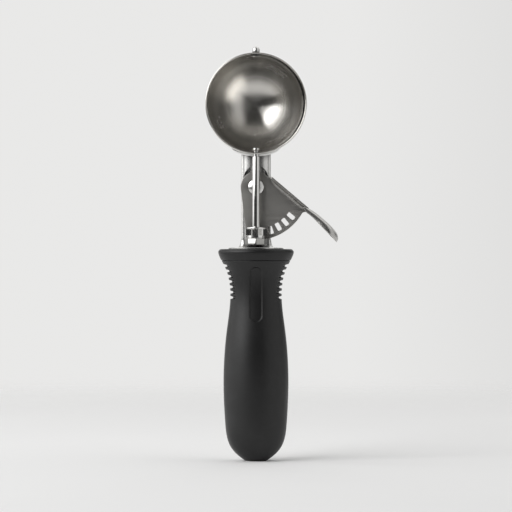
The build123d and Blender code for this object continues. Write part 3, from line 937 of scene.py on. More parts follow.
class Frame:
    """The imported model: its nodes, bodies and joints."""

    def __init__(self) -> None:
        """Loads the frame and keeps its own box."""
        self.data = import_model()
        self.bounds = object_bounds()
        behaviour = self.data["record"]["behaviour"]
        self.body_by_node = {
            node: body for body, members in behaviour["bodies"].items() for node in members
        }

    def box(self, node: str) -> Box:
        """Box round a node."""
        low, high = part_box(node)
        return Box(np.array(low) / MM, np.array(high) / MM)

    def stand_in(
        self, piece: bpy.types.Object, node: str, slot: str, look: bpy.types.Material
    ) -> None:
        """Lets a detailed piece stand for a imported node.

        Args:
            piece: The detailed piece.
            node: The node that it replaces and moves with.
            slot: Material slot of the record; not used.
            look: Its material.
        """
        piece.data.materials.append(look)
        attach(piece, self.body_by_node[node])
        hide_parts(node)
        LOG.info("%s stands for %s, %d faces", piece.name, node, len(piece.data.polygons))

    def dress(self, node: str, look: bpy.types.Material) -> None:
        """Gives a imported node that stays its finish.

        Args:
            node: The node.
            look: Its material.
        """
        packed = self.data["nodes"][node]
        packed.data.materials.clear()
        packed.data.materials.append(look)
        LOG.info("%s keeps its packed shape", node)


# ================================================================ grip
@dataclass
class GripAssembly:
    """Soft oval sleeve with finger fins and a bare panel, and its flared end collar."""

    length: float
    parting: float
    flatness: float = 0.8
    foot: float = 5.7
    knots: tuple = (
        (5.7, 0.0), (13.6, 7.1), (17.1, 22.1), (17.9, 40.0),
        (16.1, 72.3), (14.2, 92.0), (17.5, 107.6), (20.8, 114.6),
    )
    start_way: tuple = (1.0, 0.62)
    end_way: tuple = (0.25, 1.0)
    top_half_width: float = 18.6
    rubber_wall: float = 3.0
    waist: float = 14.2
    core_floor: float = 12.0
    core_roof: float = 2.0
    seam_round: float = 0.4
    fin_count: int = 7
    fin_pitch: float = 2.93
    fin_groove: float = 1.25
    fin_depth: float = 1.5
    fin_reach: float = 6.5
    fin_drop: float = 9.1
    fin_round: float = 0.3
    fin_fade: float = 0.5
    fin_rows: tuple = (0.0, 0.2, 0.4, 0.56, 0.69, 0.8, 0.93, 1.1, 1.35)
    label_width: float = 6.7
    label_length: float = 29.9
    label_drop: float = 24.9
    label_depth: float = 0.7
    label_round: float = 0.28
    label_turn: float = 18.0
    label_step: float = 0.5
    plain_step: float = 1.6
    label_bend: float = 4.0
    label_margin: float = 0.5
    heel: float = 1.5
    plain_rows: float = 1.0
    low_rows: float = 0.18
    waist_rows: float = 0.6
    high_rows: float = 0.2
    line_count: int = 3000
    lip_width: float = 1.2
    lip_drop: float = 0.02
    tang_slot: tuple[float, float] = (12.2, 3.2)
    line: Array = field(init=False)

    def __post_init__(self) -> None:
        """Works out the outline once."""
        self.line = smooth_line(
            np.array(self.knots), np.array(self.start_way), np.array(self.end_way),
            self.line_count,
        )

    def half_width(self, height: Array) -> Array:
        """Half-width of the outline at a height."""
        return np.interp(height, self.line[:, 1], self.line[:, 0])

    def turns(self) -> Array:
        """Angles of a ring, closer together over the bare panel.

        Returns:
            The angles, in radians.
        """
        low, high = 270.0 - self.label_turn, 270.0 + self.label_turn
        plain = np.arange(0.0, 360.0, self.plain_step)
        front = (plain > low) & (plain < high)
        panel = np.arange(low, high, self.label_step)
        return np.radians(np.sort(np.concatenate([plain[~front], panel])))

    def rings(self, radius: Array, height: Array) -> Array:
        """Oval rings: r cos(a) across and flatness times r sin(a) deep.

        Args:
            radius: Half-width of each ring.
            height: Height of each ring.

        Returns:
            Points by ring and angle.
        """
        turn = self.turns()
        across = radius[:, None] * np.cos(turn)
        deep = self.flatness * radius[:, None] * np.sin(turn)
        return np.stack([across, deep, np.broadcast_to(height[:, None], across.shape)], -1)

    def relief(self, grid: Array) -> Array:
        """How far the skin is pressed in at each point of the outer rings.

        The fins' grooves are boxes in height with rounded lips, faded out where the side
        turns to the front and back. The panel is a stadium: the distance to its middle line
        against half its width.

        Args:
            grid: Outer rings before pressing.

        Returns:
            Depth at each point.
        """
        x, y, z = grid[..., 0], grid[..., 1], grid[..., 2]
        first = self.length - self.fin_drop
        row = np.clip(np.round((first - z) / self.fin_pitch), 0, self.fin_count - 1)
        off = np.abs(z - (first - row * self.fin_pitch)) - self.fin_groove / 2
        groove = 1 - smooth_step(off, -self.fin_round, self.fin_round)
        fade = self.fin_fade
        side = 1 - smooth_step(np.abs(y), self.fin_reach - fade, self.fin_reach + fade)
        fins = self.fin_depth * groove * side
        middle = self.length - self.label_drop
        straight = self.label_length / 2 - self.label_width / 2
        above = np.maximum(np.abs(z - middle) - straight, 0)
        edge = np.hypot(x, above) - self.label_width / 2
        stadium = 1 - smooth_step(edge, -self.label_round, self.label_round)
        panel = self.label_depth * stadium * (y < 0)
        return np.maximum(fins, panel)

    def heights(self) -> Array:
        """Heights of the outer rings, closer together where grooves and panel end.

        Returns:
            The heights, from the foot up.
        """
        middle = self.length - self.label_drop
        low_end = middle - self.label_length / 2
        high_end = middle + self.label_length / 2
        first = self.length - self.fin_drop
        above = np.array(self.fin_rows)
        near_fin = np.concatenate([-above[:0:-1], above])
        fins = [first - row * self.fin_pitch + near_fin for row in range(self.fin_count)]
        bend, margin = self.label_bend, self.label_margin
        low_bend = low_end + bend + margin
        parts = [
            np.linspace(0.0, self.heel, 10),
            np.arange(self.heel + margin, low_end - margin, self.plain_rows),
            np.arange(low_end - margin, low_bend, self.low_rows),
            np.arange(low_bend, first - self.fin_count * self.fin_pitch, self.waist_rows),
            *fins,
            np.arange(high_end - bend, high_end + margin, self.high_rows),
            np.linspace(first + self.heel, self.parting - self.seam_round, 8),
        ]
        merged = np.unique(np.round(np.concatenate(parts), 3))
        return merged[merged <= self.parting - self.seam_round]

    def make_sleeve(self) -> bpy.types.Object:
        """Outer rings pressed by the relief, then the core's pocket.

        Returns:
            The sleeve.
        """
        z = self.heights()
        outer = self.rings(self.half_width(z), z)
        flat = outer[..., :2] / np.linalg.norm(outer[..., :2], axis=-1, keepdims=True)
        outer[..., :2] -= flat * self.relief(outer)[..., None]
        skin = Skin()
        skin.patch(self.rings(np.linspace(0, self.foot, 6), np.zeros(6)), wrap_columns=True)
        skin.patch(outer, wrap_columns=True)
        edge = float(self.half_width(self.parting))
        core = self.waist - self.rubber_wall
        lip = rounded_profile(
            [
                (float(self.half_width(z[-1])), z[-1], 0),
                (edge, self.parting, self.seam_round),
                (core, self.parting, 0),
                (core, self.core_floor, 0),
                (0.0, self.core_floor, 0),
            ]
        )
        skin.patch(self.rings(lip[:, 0], lip[:, 1]), wrap_columns=True)
        return skin.make("grip_sleeve_skin")

    def make_collar(self) -> bpy.types.Object:
        """Flared collar: outer rings, top face, the tang's slot and the core's pocket.

        Returns:
            The collar.
        """
        core = self.waist - self.rubber_wall
        z = np.linspace(self.parting + self.seam_round, self.knots[-1][1], 24)
        side = np.stack([self.half_width(z), z], 1)
        shoulder = np.array(self.knots[-1])
        way = np.array(self.end_way) / np.linalg.norm(self.end_way)
        top = np.array([self.top_half_width, self.length])
        chord = top - shoulder
        normal = np.array([-way[1], way[0]])
        radius = (chord @ chord) / (2 * chord @ normal)
        centre = shoulder + normal * radius
        start = math.degrees(math.atan2(*(shoulder - centre)[::-1]))
        end = math.degrees(math.atan2(*(top - centre)[::-1]))
        roll = arc(tuple(centre), abs(radius), start, end, 12)
        foot = rounded_profile(
            [
                (core, self.parting, 0),
                (float(self.half_width(self.parting)), self.parting, self.seam_round),
                tuple(side[0]) + (0,),
            ]
        )
        edge = [
            [self.top_half_width - self.lip_width / 2, self.length - self.lip_drop],
            [self.top_half_width - self.lip_width, self.length],
        ]
        outer = np.concatenate([foot[:-1], side, roll[1:], np.array(edge)])
        rings = self.rings(outer[:, 0], outer[:, 1])
        turn = self.turns()
        width, depth = self.tang_slot
        box = np.stack([np.cos(turn) / width, np.sin(turn) / depth], 1) * 2
        reach = 1 / np.abs(box).max(axis=1)
        roof = self.length - self.core_roof
        slot = np.stack([reach * np.cos(turn), reach * np.sin(turn)], 1)
        levels = np.array([self.length, roof])[:, None, None]
        walls = np.broadcast_to(slot, (2, *slot.shape))
        hole = np.concatenate([walls, np.broadcast_to(levels, (2, len(turn), 1))], -1)
        pocket = self.rings(np.array([core]), np.array([roof]))
        skin = Skin()
        skin.patch(np.concatenate([rings, hole, pocket]), wrap_rows=True, wrap_columns=True)
        return skin.make("grip_collar_skin")


# ================================================================ bowl
@dataclass
class BowlAssembly:
    """Spun bowl, its pin, its brazed saddle and the wiper blade."""

    centre: tuple[float, float, float]
    radius: float = 27.98
    wall: float = 0.88
    lip: float = 3.0
    rim_round: float = 0.42
    blade_gap: float = 0.98
    blade_wall: float = 0.37
    blade_width: float = 22.0
    blade_lead: float = 4.0
    blade_hub: float = 3.2
    blade_powers: tuple[float, float] = (0.28, 0.7)
    blade_join: float = 1.02
    blade_sharp: float = 50.0
    pin_head: float = 2.05
    pin_height: float = 3.3
    pin_shank: float = 1.3
    pin_tail: float = 1.8
    pin_tail_height: float = 0.98
    pin_tail_round: float = 0.3
    pin_head_round: float = 0.25
    saddle_wall: float = 1.1
    saddle_half_width: float = 14.0
    saddle_half_depth: float = 9.5
    saddle_setback: float = 8.5
    saddle_feather: float = 0.1
    saddle_step: float = 0.015
    bond: float = 0.05

    def make_shell(self) -> bpy.types.Object:
        """Bowl turned about its own level axis: outer arc, rounded rim, inner arc.

        Returns:
            The bowl.
        """
        inner = self.radius - self.wall
        past = math.degrees(math.asin(self.lip / self.radius))
        past_inner = math.degrees(math.asin(self.lip / inner))
        trim = math.degrees(self.rim_round / self.radius)
        outside = arc((0, 0), self.radius, 90, -past + trim, 80)
        inside = arc((0, 0), inner, -past_inner + trim, 90, 80)
        rim = rounded_profile(
            [
                (*outside[-1], 0),
                (math.sqrt(self.radius**2 - self.lip**2), -self.lip, self.rim_round),
                (math.sqrt(inner**2 - self.lip**2), -self.lip, self.rim_round),
                (*inside[0], 0),
            ]
        )
        profile = np.concatenate([outside, rim[1:-1], inside])
        return make_turned("bowl_shell", profile, self.centre, Axle.FORWARD, 256)

    def make_blade(self) -> bpy.types.Object:
        """Thin strip carried from the lower pivot to the upper one inside the bowl.

        A row lies at an elevation t along the strip's own meridian. Its cross ring is a
        rounded bar whose width is the larger of a wedge between two meridians and the round
        eye at each pivot, bent to the sphere by turning across the meridian.

        Returns:
            The blade.
        """
        outer = self.radius - self.wall - self.blade_gap
        inner = outer - self.blade_wall
        middle = (outer + inner) / 2
        eye = self.blade_hub / middle
        near = np.sin(np.linspace(-np.pi / 2, np.pi / 2, 40)) * eye
        end = np.pi / 2 - eye * self.blade_join
        between = np.linspace(-end, end, 120)
        along = np.concatenate([near - np.pi / 2, between, near + np.pi / 2])
        past = np.pi / 2 - np.abs(along)
        half_angle = math.radians(self.blade_width / 2)
        wedge = np.arcsin(np.clip(np.cos(along), 0, 1) * math.sin(half_angle))
        disc = np.sqrt(np.clip(eye**2 - past**2, 0, None))
        width = np.maximum(np.where(past > 0, wedge, 0.0), disc)
        turn = np.linspace(0, 2 * np.pi, 48, endpoint=False)
        across = np.sign(np.cos(turn)) * np.abs(np.cos(turn)) ** self.blade_powers[0]
        thick = np.sign(np.sin(turn)) * np.abs(np.sin(turn)) ** self.blade_powers[1]
        heading = math.radians(self.blade_width / 2 - self.blade_lead)
        ahead = np.array([math.cos(heading), math.sin(heading), 0.0])
        beside = np.array([-math.sin(heading), math.cos(heading), 0.0])
        up = np.array([0.0, 0.0, 1.0])
        spine = np.cos(along)[:, None] * ahead + np.sin(along)[:, None] * up
        side = (width[:, None] * across)[..., None]
        way = np.cos(side) * spine[:, None, :] + np.sin(side) * beside
        ball = middle + self.blade_wall / 2 * thick
        grid = way * ball[None, :, None] + np.array(self.centre)
        skin = Skin()
        skin.bar(grid)
        return skin.make("wiper_blade_strip", self.blade_sharp)

    def make_pin(self) -> bpy.types.Object:
        """Round-headed pin through the top of the bowl, peened inside.

        Returns:
            The pin.
        """
        base = self.radius + self.bond
        inner = self.radius - self.wall
        head = self.pin_head
        dome = base + self.pin_height - head
        profile = np.concatenate(
            [
                rounded_profile(
                    [
                        (0.0, inner - self.pin_tail_height, 0),
                        (self.pin_tail, inner - self.pin_tail_height, self.pin_tail_round),
                        (self.pin_tail, inner - self.bond, 0),
                        (self.pin_shank, inner - self.bond, 0),
                        (self.pin_shank, base, 0),
                        (head, base, self.pin_head_round),
                        (head, dome, 0),
                    ]
                ),
                arc((0.0, dome), head, 0, 90, 14)[1:],
            ]
        )
        return make_turned("pivot_pin", profile, self.centre, Axle.UP, 64)

    def make_saddle(self) -> bpy.types.Object:
        """Brazed patch: an oval sheet hugging the bowl, its edge feathered into it.

        A ring at share s of the oval and angle a lies at s times the oval's half-width and
        half-depth, at the height where the sphere of its own radius passes.

        Returns:
            The saddle.
        """
        flat = 1 - self.saddle_feather
        edge = np.linspace(flat + self.saddle_step, 1.0, 8)
        share = np.concatenate([np.linspace(0, flat, 24), edge])
        turn = np.linspace(0, 2 * np.pi, 128, endpoint=False)
        low = self.radius + self.bond
        past = ((share - flat) / self.saddle_feather).clip(0, 1)
        swell = self.saddle_wall * np.sqrt(np.clip(1 - past**2, 0, 1))
        ball = np.concatenate([low + swell, np.full(len(share), low)[::-1]])
        share = np.concatenate([share, share[::-1]])
        across = share[:, None] * self.saddle_half_width * np.cos(turn)
        deep = self.saddle_setback + share[:, None] * self.saddle_half_depth * np.sin(turn)
        drop = -np.sqrt(ball[:, None] ** 2 - across**2 - deep**2)
        skin = Skin()
        grid = np.stack([across, deep, drop], -1) + np.array(self.centre)
        skin.patch(grid, wrap_columns=True)
        return skin.make("bowl_saddle_skin")


# ================================================================ neck
@dataclass
class NeckAssembly:
    """Hollow neck with its round window, closed behind by a cover."""

    bottom: float
    front: float
    bowl_centre: tuple[float, float, float]
    pivot_height: float
    foot_box: Box
    width: float = 16.4
    depth: float = 6.0
    wall: float = 1.0
    corner: float = 1.6
    corner_turn: float = 82.0
    crown: float = 1.5
    top_ball: float = 29.2
    window: float = 6.6
    window_rise: float = 5.3
    land: float = 5.2
    cut_before: float = 2.0
    cut_behind: float = 1.2
    sharp_angle: float = 35.0
    foot_wall: float = 0.18
    foot_flare: float = 2.4
    foot_height: float = 4.4
    plate_thickness: float = 0.8
    plate_edge: float = 0.985
    plate_round: float = 0.25
    bond: float = 0.05

    def channel_line(self, inset: float, rear_count: int, front_count: int) -> Array:
        """Line of the channel from its left lip round the crowned front to its right lip.

        The front bows as the crown times the square of the share of the half-width.

        Args:
            inset: How far it lies inside the outer skin.
            rear_count: Points in each rear corner.
            front_count: Points in each front corner.

        Returns:
            The line's points, one row each.
        """
        lip = self.width / 2 - self.corner
        rear = self.front + self.depth
        radius = self.corner - inset
        rear_bend = rear - self.corner
        front_bend = self.front + self.crown + self.corner
        run = np.linspace(-1, 1, 41)
        bow = self.front + self.crown * run**2 + inset
        turn = self.corner_turn
        return np.concatenate(
            [
                np.array([[-lip, rear - inset]]),
                arc((-lip, rear_bend), radius, 90, 180, rear_count),
                arc((-lip, front_bend), radius, 180, 180 + turn, front_count),
                np.stack([run * lip, bow], 1)[1:-1],
                arc((lip, front_bend), radius, -turn, 0, front_count),
                arc((lip, rear_bend), radius, 0, 90, rear_count),
            ]
        )

    def make_channel(self) -> bpy.types.Object:
        """Hollow section carried up to the saddle's ball, then the window is cut through.

        Returns:
            The channel.
        """
        outer = self.channel_line(0.0, 8, 10)
        inner = self.channel_line(self.wall, 6, 6)
        ring = np.concatenate([outer, inner[::-1]])
        centre = np.array(self.bowl_centre)
        reach = np.hypot(ring[:, 0] - centre[0], ring[:, 1] - centre[1])
        top = centre[2] - np.sqrt(self.top_ball**2 - reach**2)
        share = np.linspace(0, 1, 30)[:, None]
        height = self.bottom + (top - self.bottom) * share
        flat = [np.broadcast_to(ring[:, axis], height.shape) for axis in (0, 1)]
        grid = np.stack([*flat, height], -1)
        skin = Skin()
        skin.bar(grid)
        channel = skin.make("neck_channel")
        cutter = self.window_cutter()
        cut = channel.modifiers.new("window", "BOOLEAN")
        cut.operation = "DIFFERENCE"
        cut.solver = "EXACT"
        cut.object = cutter
        graph = bpy.context.evaluated_depsgraph_get()
        finished = bpy.data.meshes.new_from_object(channel.evaluated_get(graph))
        channel.modifiers.clear()
        channel.data = finished
        bpy.data.objects.remove(cutter)
        shade_smooth(finished, self.sharp_angle)
        return channel

    def make_foot(self) -> bpy.types.Object:
        """Flared socket on its oval plate.

        Rings are the neck's rounded section grown outwards: a thin lip, then a quarter
        ellipse out and down to the plate, then the plate's oval.

        Returns:
            The foot.
        """
        low = self.foot_box.bottom
        turn = np.linspace(0, 2 * np.pi, 160, endpoint=False)
        ways = np.stack([np.cos(turn), np.sin(turn)], 1)
        half = np.array([self.width / 2, self.depth / 2]) - self.corner
        flat_run = np.clip(ways * self.width * 3, -half, half)
        neck = np.array([0.0, self.front + self.depth / 2]) + flat_run + ways * self.corner
        bend = np.radians(np.linspace(0, 90, 14))
        seat = low + self.plate_thickness
        top = seat + self.foot_height
        lip = [self.bond, self.bond, self.foot_wall - self.bond]
        grow = np.concatenate([lip, self.foot_wall + self.foot_flare * (1 - np.cos(bend))])
        fall = top - self.bond - (self.foot_height - self.bond) * np.sin(bend)
        level = np.concatenate([[low, top - self.bond, top], fall])
        socket = neck + grow[:, None, None] * ways
        oval = ways * self.foot_box.high[:2]
        plate = oval * np.array([self.plate_edge, 1.0, 1.0])[:, None, None]
        rings = np.concatenate([socket, plate])
        level = np.concatenate([level, [seat, seat - self.plate_round, low]])
        height = np.broadcast_to(level[:, None, None], (*rings.shape[:2], 1))
        skin = Skin()
        skin.patch(np.concatenate([rings, height], -1), wrap_rows=True, wrap_columns=True)
        return skin.make("flared_foot", self.sharp_angle)

    def window_cutter(self) -> bpy.types.Object:
        """Prism of the window's outline: its circle less the washer's land.

        The two circles cross at a height h above the pivot where both equations agree:
        h = (rise^2 + land^2 - window^2) / (2 rise).

        Returns:
            The cutting block.
        """
        h = (self.window_rise**2 + self.land**2 - self.window**2) / (2 * self.window_rise)
        x = math.sqrt(self.land**2 - h**2)
        low = math.degrees(math.atan2(h - self.window_rise, x))
        upper = arc((0, self.window_rise), self.window, low, 180 - low, 72)
        land = math.degrees(math.atan2(h, x))
        lower = arc((0, 0), self.land, 180 - land, land, 48)[1:-1]
        ring = np.concatenate([upper, lower])
        near = self.front - self.cut_before
        far = self.front + self.wall + self.crown + self.cut_behind
        skin = Skin()
        faces = [
            np.stack([ring[:, 0], np.full(len(ring), y), ring[:, 1] + self.pivot_height], 1)
            for y in (near, far)
        ]
        skin.bar(np.stack(faces))
        return skin.make("window_block")


# ================================================================ spindle
@dataclass
class SpindleAssembly:
    """Turned spindle with its head, and the collar above the pinion."""

    axis: tuple[float, float]
    bar_box: Box
    pinion_bottom: float
    bowl_height: float
    collar_box: Box
    bush_box: Box
    radius: float = 2.0
    tip: float = 1.4
    head: float = 2.05
    head_height: float = 1.2
    shoulder_reach: float = 29.1
    collar_radius: float = 5.0
    bush_corner: float = 6.39
    bush_taper: float = 1.6
    bush_round: float = 0.25
    bush_back: float = 4.73
    bush_step: float = 0.5
    bush_blunt: float = 0.012
    bush_blunt_run: float = 0.12
    bush_knee: tuple[float, float] = (0.9, 0.55)
    bush_foot: float = 1.7
    bush_bevel: float = 0.07
    bush_sharp: float = 20.0
    edge_round: float = 0.2
    shoulder_round: float = 0.35
    head_round: float = 0.45
    collar_round: float = 0.3
    bore_round: float = 0.1
    fit: float = 0.05

    def make_spindle(self) -> bpy.types.Object:
        """Stepped bar turned from foot to head, its edges broken.

        Returns:
            The spindle.
        """
        bottom, top = self.bar_box.bottom, self.bar_box.top
        shoulder = self.bowl_height - self.shoulder_reach
        seat = top - self.head_height
        profile = rounded_profile(
            [
                (0.0, bottom, 0),
                (self.tip, bottom, self.edge_round),
                (self.tip, self.pinion_bottom, 0),
                (self.radius, self.pinion_bottom, self.edge_round),
                (self.radius, shoulder, self.shoulder_round),
                (self.tip, shoulder, 0),
                (self.tip, seat, 0),
                (self.head, seat, self.edge_round),
                (self.head, top, self.head_round),
                (0.0, top, 0),
            ]
        )
        return make_turned("spindle_bar", profile, (*self.axis, 0.0), Axle.UP, 96)

    def make_bush(self) -> bpy.types.Object:
        """Eight-sided bush with a corner to the front, its foot tapered, its back flat.

        A level's ring is the octagon pulled in by that level's inset; points behind the flat
        back are moved onto it.

        Returns:
            The bush.
        """
        low, high = self.bush_box.bottom, self.bush_box.top
        corner = self.polygon(8, self.bush_corner)
        soft = spaced(corner, self.bush_step)
        from_corner = (np.linalg.norm(soft, axis=1) - self.bush_corner) / self.bush_blunt_run
        blunt = soft * (1 - self.bush_blunt * np.exp(-(from_corner**2)))[:, None]
        knee_rise, knee_share = self.bush_knee
        levels = np.array(
            [
                [low, self.bush_taper],
                [low + knee_rise, self.bush_taper * knee_share],
                [low + self.bush_foot, 0.0],
                [high - self.bush_round, 0.0],
                [high - self.bush_bevel, self.bush_bevel],
                [high, self.bush_round],
            ]
        )
        scale = 1 - levels[:, 1] / self.bush_corner
        rings = blunt[None] * scale[:, None, None]
        rings[..., 1] = np.minimum(rings[..., 1], self.bush_back)
        bore = blunt / np.linalg.norm(blunt, axis=1, keepdims=True) * (self.tip + self.fit)
        rings = np.concatenate([bore[None], rings, bore[None]])
        height = np.concatenate([[low], levels[:, 0], [high]])
        grid = np.concatenate(
            [rings, np.broadcast_to(height[:, None, None], (*rings.shape[:2], 1))], -1
        )
        skin = Skin()
        skin.patch(grid + np.array([*self.axis, 0.0]), wrap_rows=True, wrap_columns=True)
        return skin.make("octagon_bush", self.bush_sharp)

    @staticmethod
    def polygon(sides: int, radius: float) -> Array:
        """Corners of a regular polygon with one corner towards -Y."""
        turn = np.radians(-90 + np.arange(sides) * 360 / sides)
        return radius * np.stack([np.cos(turn), np.sin(turn)], 1)

    def make_collar(self) -> bpy.types.Object:
        """Ring with broken edges pressed on the spindle.

        Returns:
            The collar.
        """
        low, high = self.collar_box.bottom, self.collar_box.top
        outer = self.collar_radius
        bore = self.radius + self.fit
        profile = rounded_profile(
            [
                (bore, low, 0),
                (outer, low, self.collar_round),
                (outer, high, self.collar_round),
                (bore, high, self.bore_round),
                (bore, low, 0),
            ]
        )
        return make_turned("collar_ring", profile, (*self.axis, 0.0), Axle.UP, 96)


# ================================================================ lever
@dataclass
class LeverAssembly:
    """Stamped lever: slotted sector, rolled flange and crowned thumb pad, on its rivet."""

    pivot: float
    plate_front: float
    neck_back: float
    thickness: float = 1.2
    hub: float = 8.5
    hub_end: float = 38.0
    rivet: float = 2.55
    rivet_head: float = 4.35
    rivet_height: float = 1.3
    rivet_tail: float = 3.9
    rivet_tail_height: float = 0.9
    rivet_cap: float = 0.98
    rivet_rim: float = 0.12
    rivet_fit: float = 0.02
    tail_round: float = 0.4
    side_gap: float = 0.06
    fit: float = 0.1
    slot_circle: float = 25.1
    slot_pitch: float = 10.4
    slot_phase: float = -1.9
    slot_count: int = 6
    slot_width: float = 2.35
    slot_length: float = 4.4
    slot_corner: float = 0.6
    sector: float = 29.3
    sector_right: float = 58.8
    sector_left: float = 9.8
    flange_distance: float = 9.9
    flange_slope: float = 40.2
    flange_start: float = 2.8
    flange_end: float = 31.7
    flange_width: float = 3.4
    flange_bend: float = 2.0
    flange_roll: float = 0.6
    flange_leg: float = 0.4
    flange_round: float = 0.3
    flange_proud: float = 0.006
    flange_length: float = 27.4
    flange_end_rows: tuple = (0.0, 0.15, 0.5, 1.2)
    flange_rows: tuple[float, float, int] = (2.0, 25.5, 26)
    flange_slack: float = 0.02
    flange_close: float = 0.25
    flange_close_run: float = 0.5
    flange_least: float = 0.15
    flange_taper: float = 4.8
    web_margin: float = 2.5
    web_fillet: float = 2.2
    heel_round: float = 1.1
    pad_start: float = 27.0
    pad_length: float = 26.7
    pad_width: float = 15.6
    pad_roll: tuple[float, float] = (2.9, 1.4)
    pad_roll_power: float = 2.6
    pad_roll_end: float = 0.97
    pad_roll_run: tuple[float, float] = (-3.0, 4.0)
    pad_roll_shares: tuple[float, float] = (0.1, 0.7)
    pad_lift: float = 0.6
    pad_lift_share: float = 0.35
    pad_heart: float = 0.55
    pad_mouth: float = 0.02
    pad_swell_start: float = -0.12
    pad_bend_start: float = 12.0
    pad_bend: float = 85.0
    pad_neck: float = 4.8
    pad_blend: float = 12.0
    pad_widest: float = 0.74
    pad_power: float = 2.0
    buff_over: float = 0.05
    buff_aside: float = 0.75
    buff_past_web: float = 0.1
    buff_past_start: float = 1.0
    edge_round: float = 0.24
    edge_step: float = 0.6
    sharp_angle: float = 45.0

    def by_flange(self, distance: Array | float, along: Array | float) -> Array:
        """Points given by the flange's own directions.

        Args:
            distance: Distance from the pivot, square to the flange.
            along: Run along the flange.

        Returns:
            How far right of and above the pivot each is.
        """
        slope = math.radians(self.flange_slope)
        right = distance * math.sin(slope) + along * math.cos(slope)
        up = distance * math.cos(slope) - along * math.sin(slope)
        return np.stack([right, up], -1)

    def placed(self, flat: Array, depth: Array) -> Array:
        """Points in space from how far right of and above the pivot they are, and depth."""
        deep = np.broadcast_to(depth, flat.shape[:-1])
        return np.stack([flat[..., 0], deep, flat[..., 1] + self.pivot], -1)

    def polar(self, radius: float, degrees: float) -> Array:
        """Point at a radius and an angle from +X about the pivot."""
        turn = math.radians(degrees)
        return np.array([radius * math.cos(turn), radius * math.sin(turn)])

    def outline(self) -> Loop:
        """Edge of the plate: hub, left side, toothed rim, web, flange.

        Returns:
            The ring, counter-clockwise.
        """
        hub_left = 270 - self.sector_left - math.degrees(math.acos(self.hub / self.sector))
        rim_end = self.polar(self.sector, self.sector_right - 90)
        web_end = self.by_flange(self.flange_distance - self.web_margin, self.flange_end)
        level = self.flange_distance - self.web_margin
        normal = self.by_flange(1, 0)
        outward = rim_end / np.linalg.norm(rim_end)
        tangent = np.array([-outward[1], outward[0]])
        reach = (level - rim_end @ normal) / (tangent @ normal)
        corner = rim_end + tangent * reach
        web = fillet_corner(rim_end, corner, web_end, self.web_fillet, 14)
        cut = self.flange_distance - self.thickness * 0.5
        flange_end = self.by_flange(cut, self.flange_end)
        heel = fillet_corner(corner, web_end, flange_end, self.heel_round, 8)
        return np.concatenate(
            [
                arc((0, 0), self.hub, self.hub_end, hub_left, 60),
                arc((0, 0), self.sector, -90 - self.sector_left, self.sector_right - 90, 90),
                web,
                heel,
                flange_end[None],
                self.by_flange(cut, self.flange_start)[None],
            ]
        )

    def slots(self) -> list[Loop]:
        """Rounded slots round the rim for the pinion's teeth.

        Returns:
            One clockwise ring for each slot.
        """
        long, wide, corner = self.slot_length / 2, self.slot_width / 2, self.slot_corner
        box = np.concatenate(
            [
                arc((long - corner, wide - corner), corner, 0, 90, 6),
                arc((corner - long, wide - corner), corner, 90, 180, 6),
                arc((corner - long, corner - wide), corner, 180, 270, 6),
                arc((long - corner, corner - wide), corner, 270, 360, 6),
            ]
        )
        rings = []
        for slot in range(self.slot_count):
            angle = self.slot_phase + slot * self.slot_pitch - 90
            across, along = self.polar(1, angle), self.polar(1, angle + 90)
            ring = self.polar(self.slot_circle, angle) + box[:, :1] * across + box[:, 1:] * along
            rings.append(ring[::-1])
        return rings

    def make_lever(self) -> bpy.types.Object:
        """Plate with rounded edges, flange and pad gathered as one stamped piece.

        Each edge runs as a quarter circle out of the front face and into the back one.

        Returns:
            The stamping.
        """
        skin = Skin()
        hole = arc((0, 0), self.rivet + self.fit, 360, 0, 65)[:-1]
        loops = [spaced(self.outline(), self.edge_step), *self.slots(), hole]
        back = self.plate_front + self.thickness
        edge = self.edge_round
        turn = np.radians(np.linspace(0, 90, 5))
        steps = np.concatenate([edge * np.sin(turn), (edge * np.cos(turn))])
        depth = np.concatenate(
            [
                self.plate_front + edge - edge * np.cos(turn),
                back - edge + edge * np.sin(turn),
            ]
        )
        caps: list[list[Array]] = [[], []]
        for loop in loops:
            out = ring_normals(loop)
            inner = loop - edge * out
            rows = inner[None] + steps[:, None, None] * out[None]
            grid = self.placed(rows, depth[:, None])
            skin.patch(grid, wrap_columns=True)
            caps[0].append(grid[0])
            caps[1].append(grid[-1])
        skin.cap(caps[0])
        skin.cap(caps[1])
        self.add_flange(skin)
        self.add_pad(skin)
        return skin.make("trigger_lever_stamping", self.sharp_angle)

    def buff_pad(self, piece: bpy.types.Object, look: bpy.types.Material) -> None:
        """Gives the faces past the flange's end the buffed look.

        Args:
            piece: The stamping.
            look: Look of the buffed pad.
        """
        piece.data.materials.append(look)
        count = len(piece.data.polygons)
        centre = np.empty(count * 3)
        piece.data.polygons.foreach_get("center", centre)
        centre = centre.reshape(-1, 3) / MM
        slope = math.radians(self.flange_slope)
        up = centre[:, 2] - self.pivot
        along = centre[:, 0] * math.cos(slope) - up * math.sin(slope)
        distance = centre[:, 0] * math.sin(slope) + up * math.cos(slope)
        aside = np.abs(centre[:, 1] - self.plate_front - self.thickness / 2)
        over = distance > self.flange_distance - self.thickness / 2 + self.buff_over
        clear = over | (aside > self.buff_aside)
        past_web = along > self.flange_end + self.buff_past_web
        on_pad = past_web | (clear & (along > self.pad_start + self.buff_past_start))
        index = on_pad.astype(np.int32)
        piece.data.polygons.foreach_set("material_index", index)

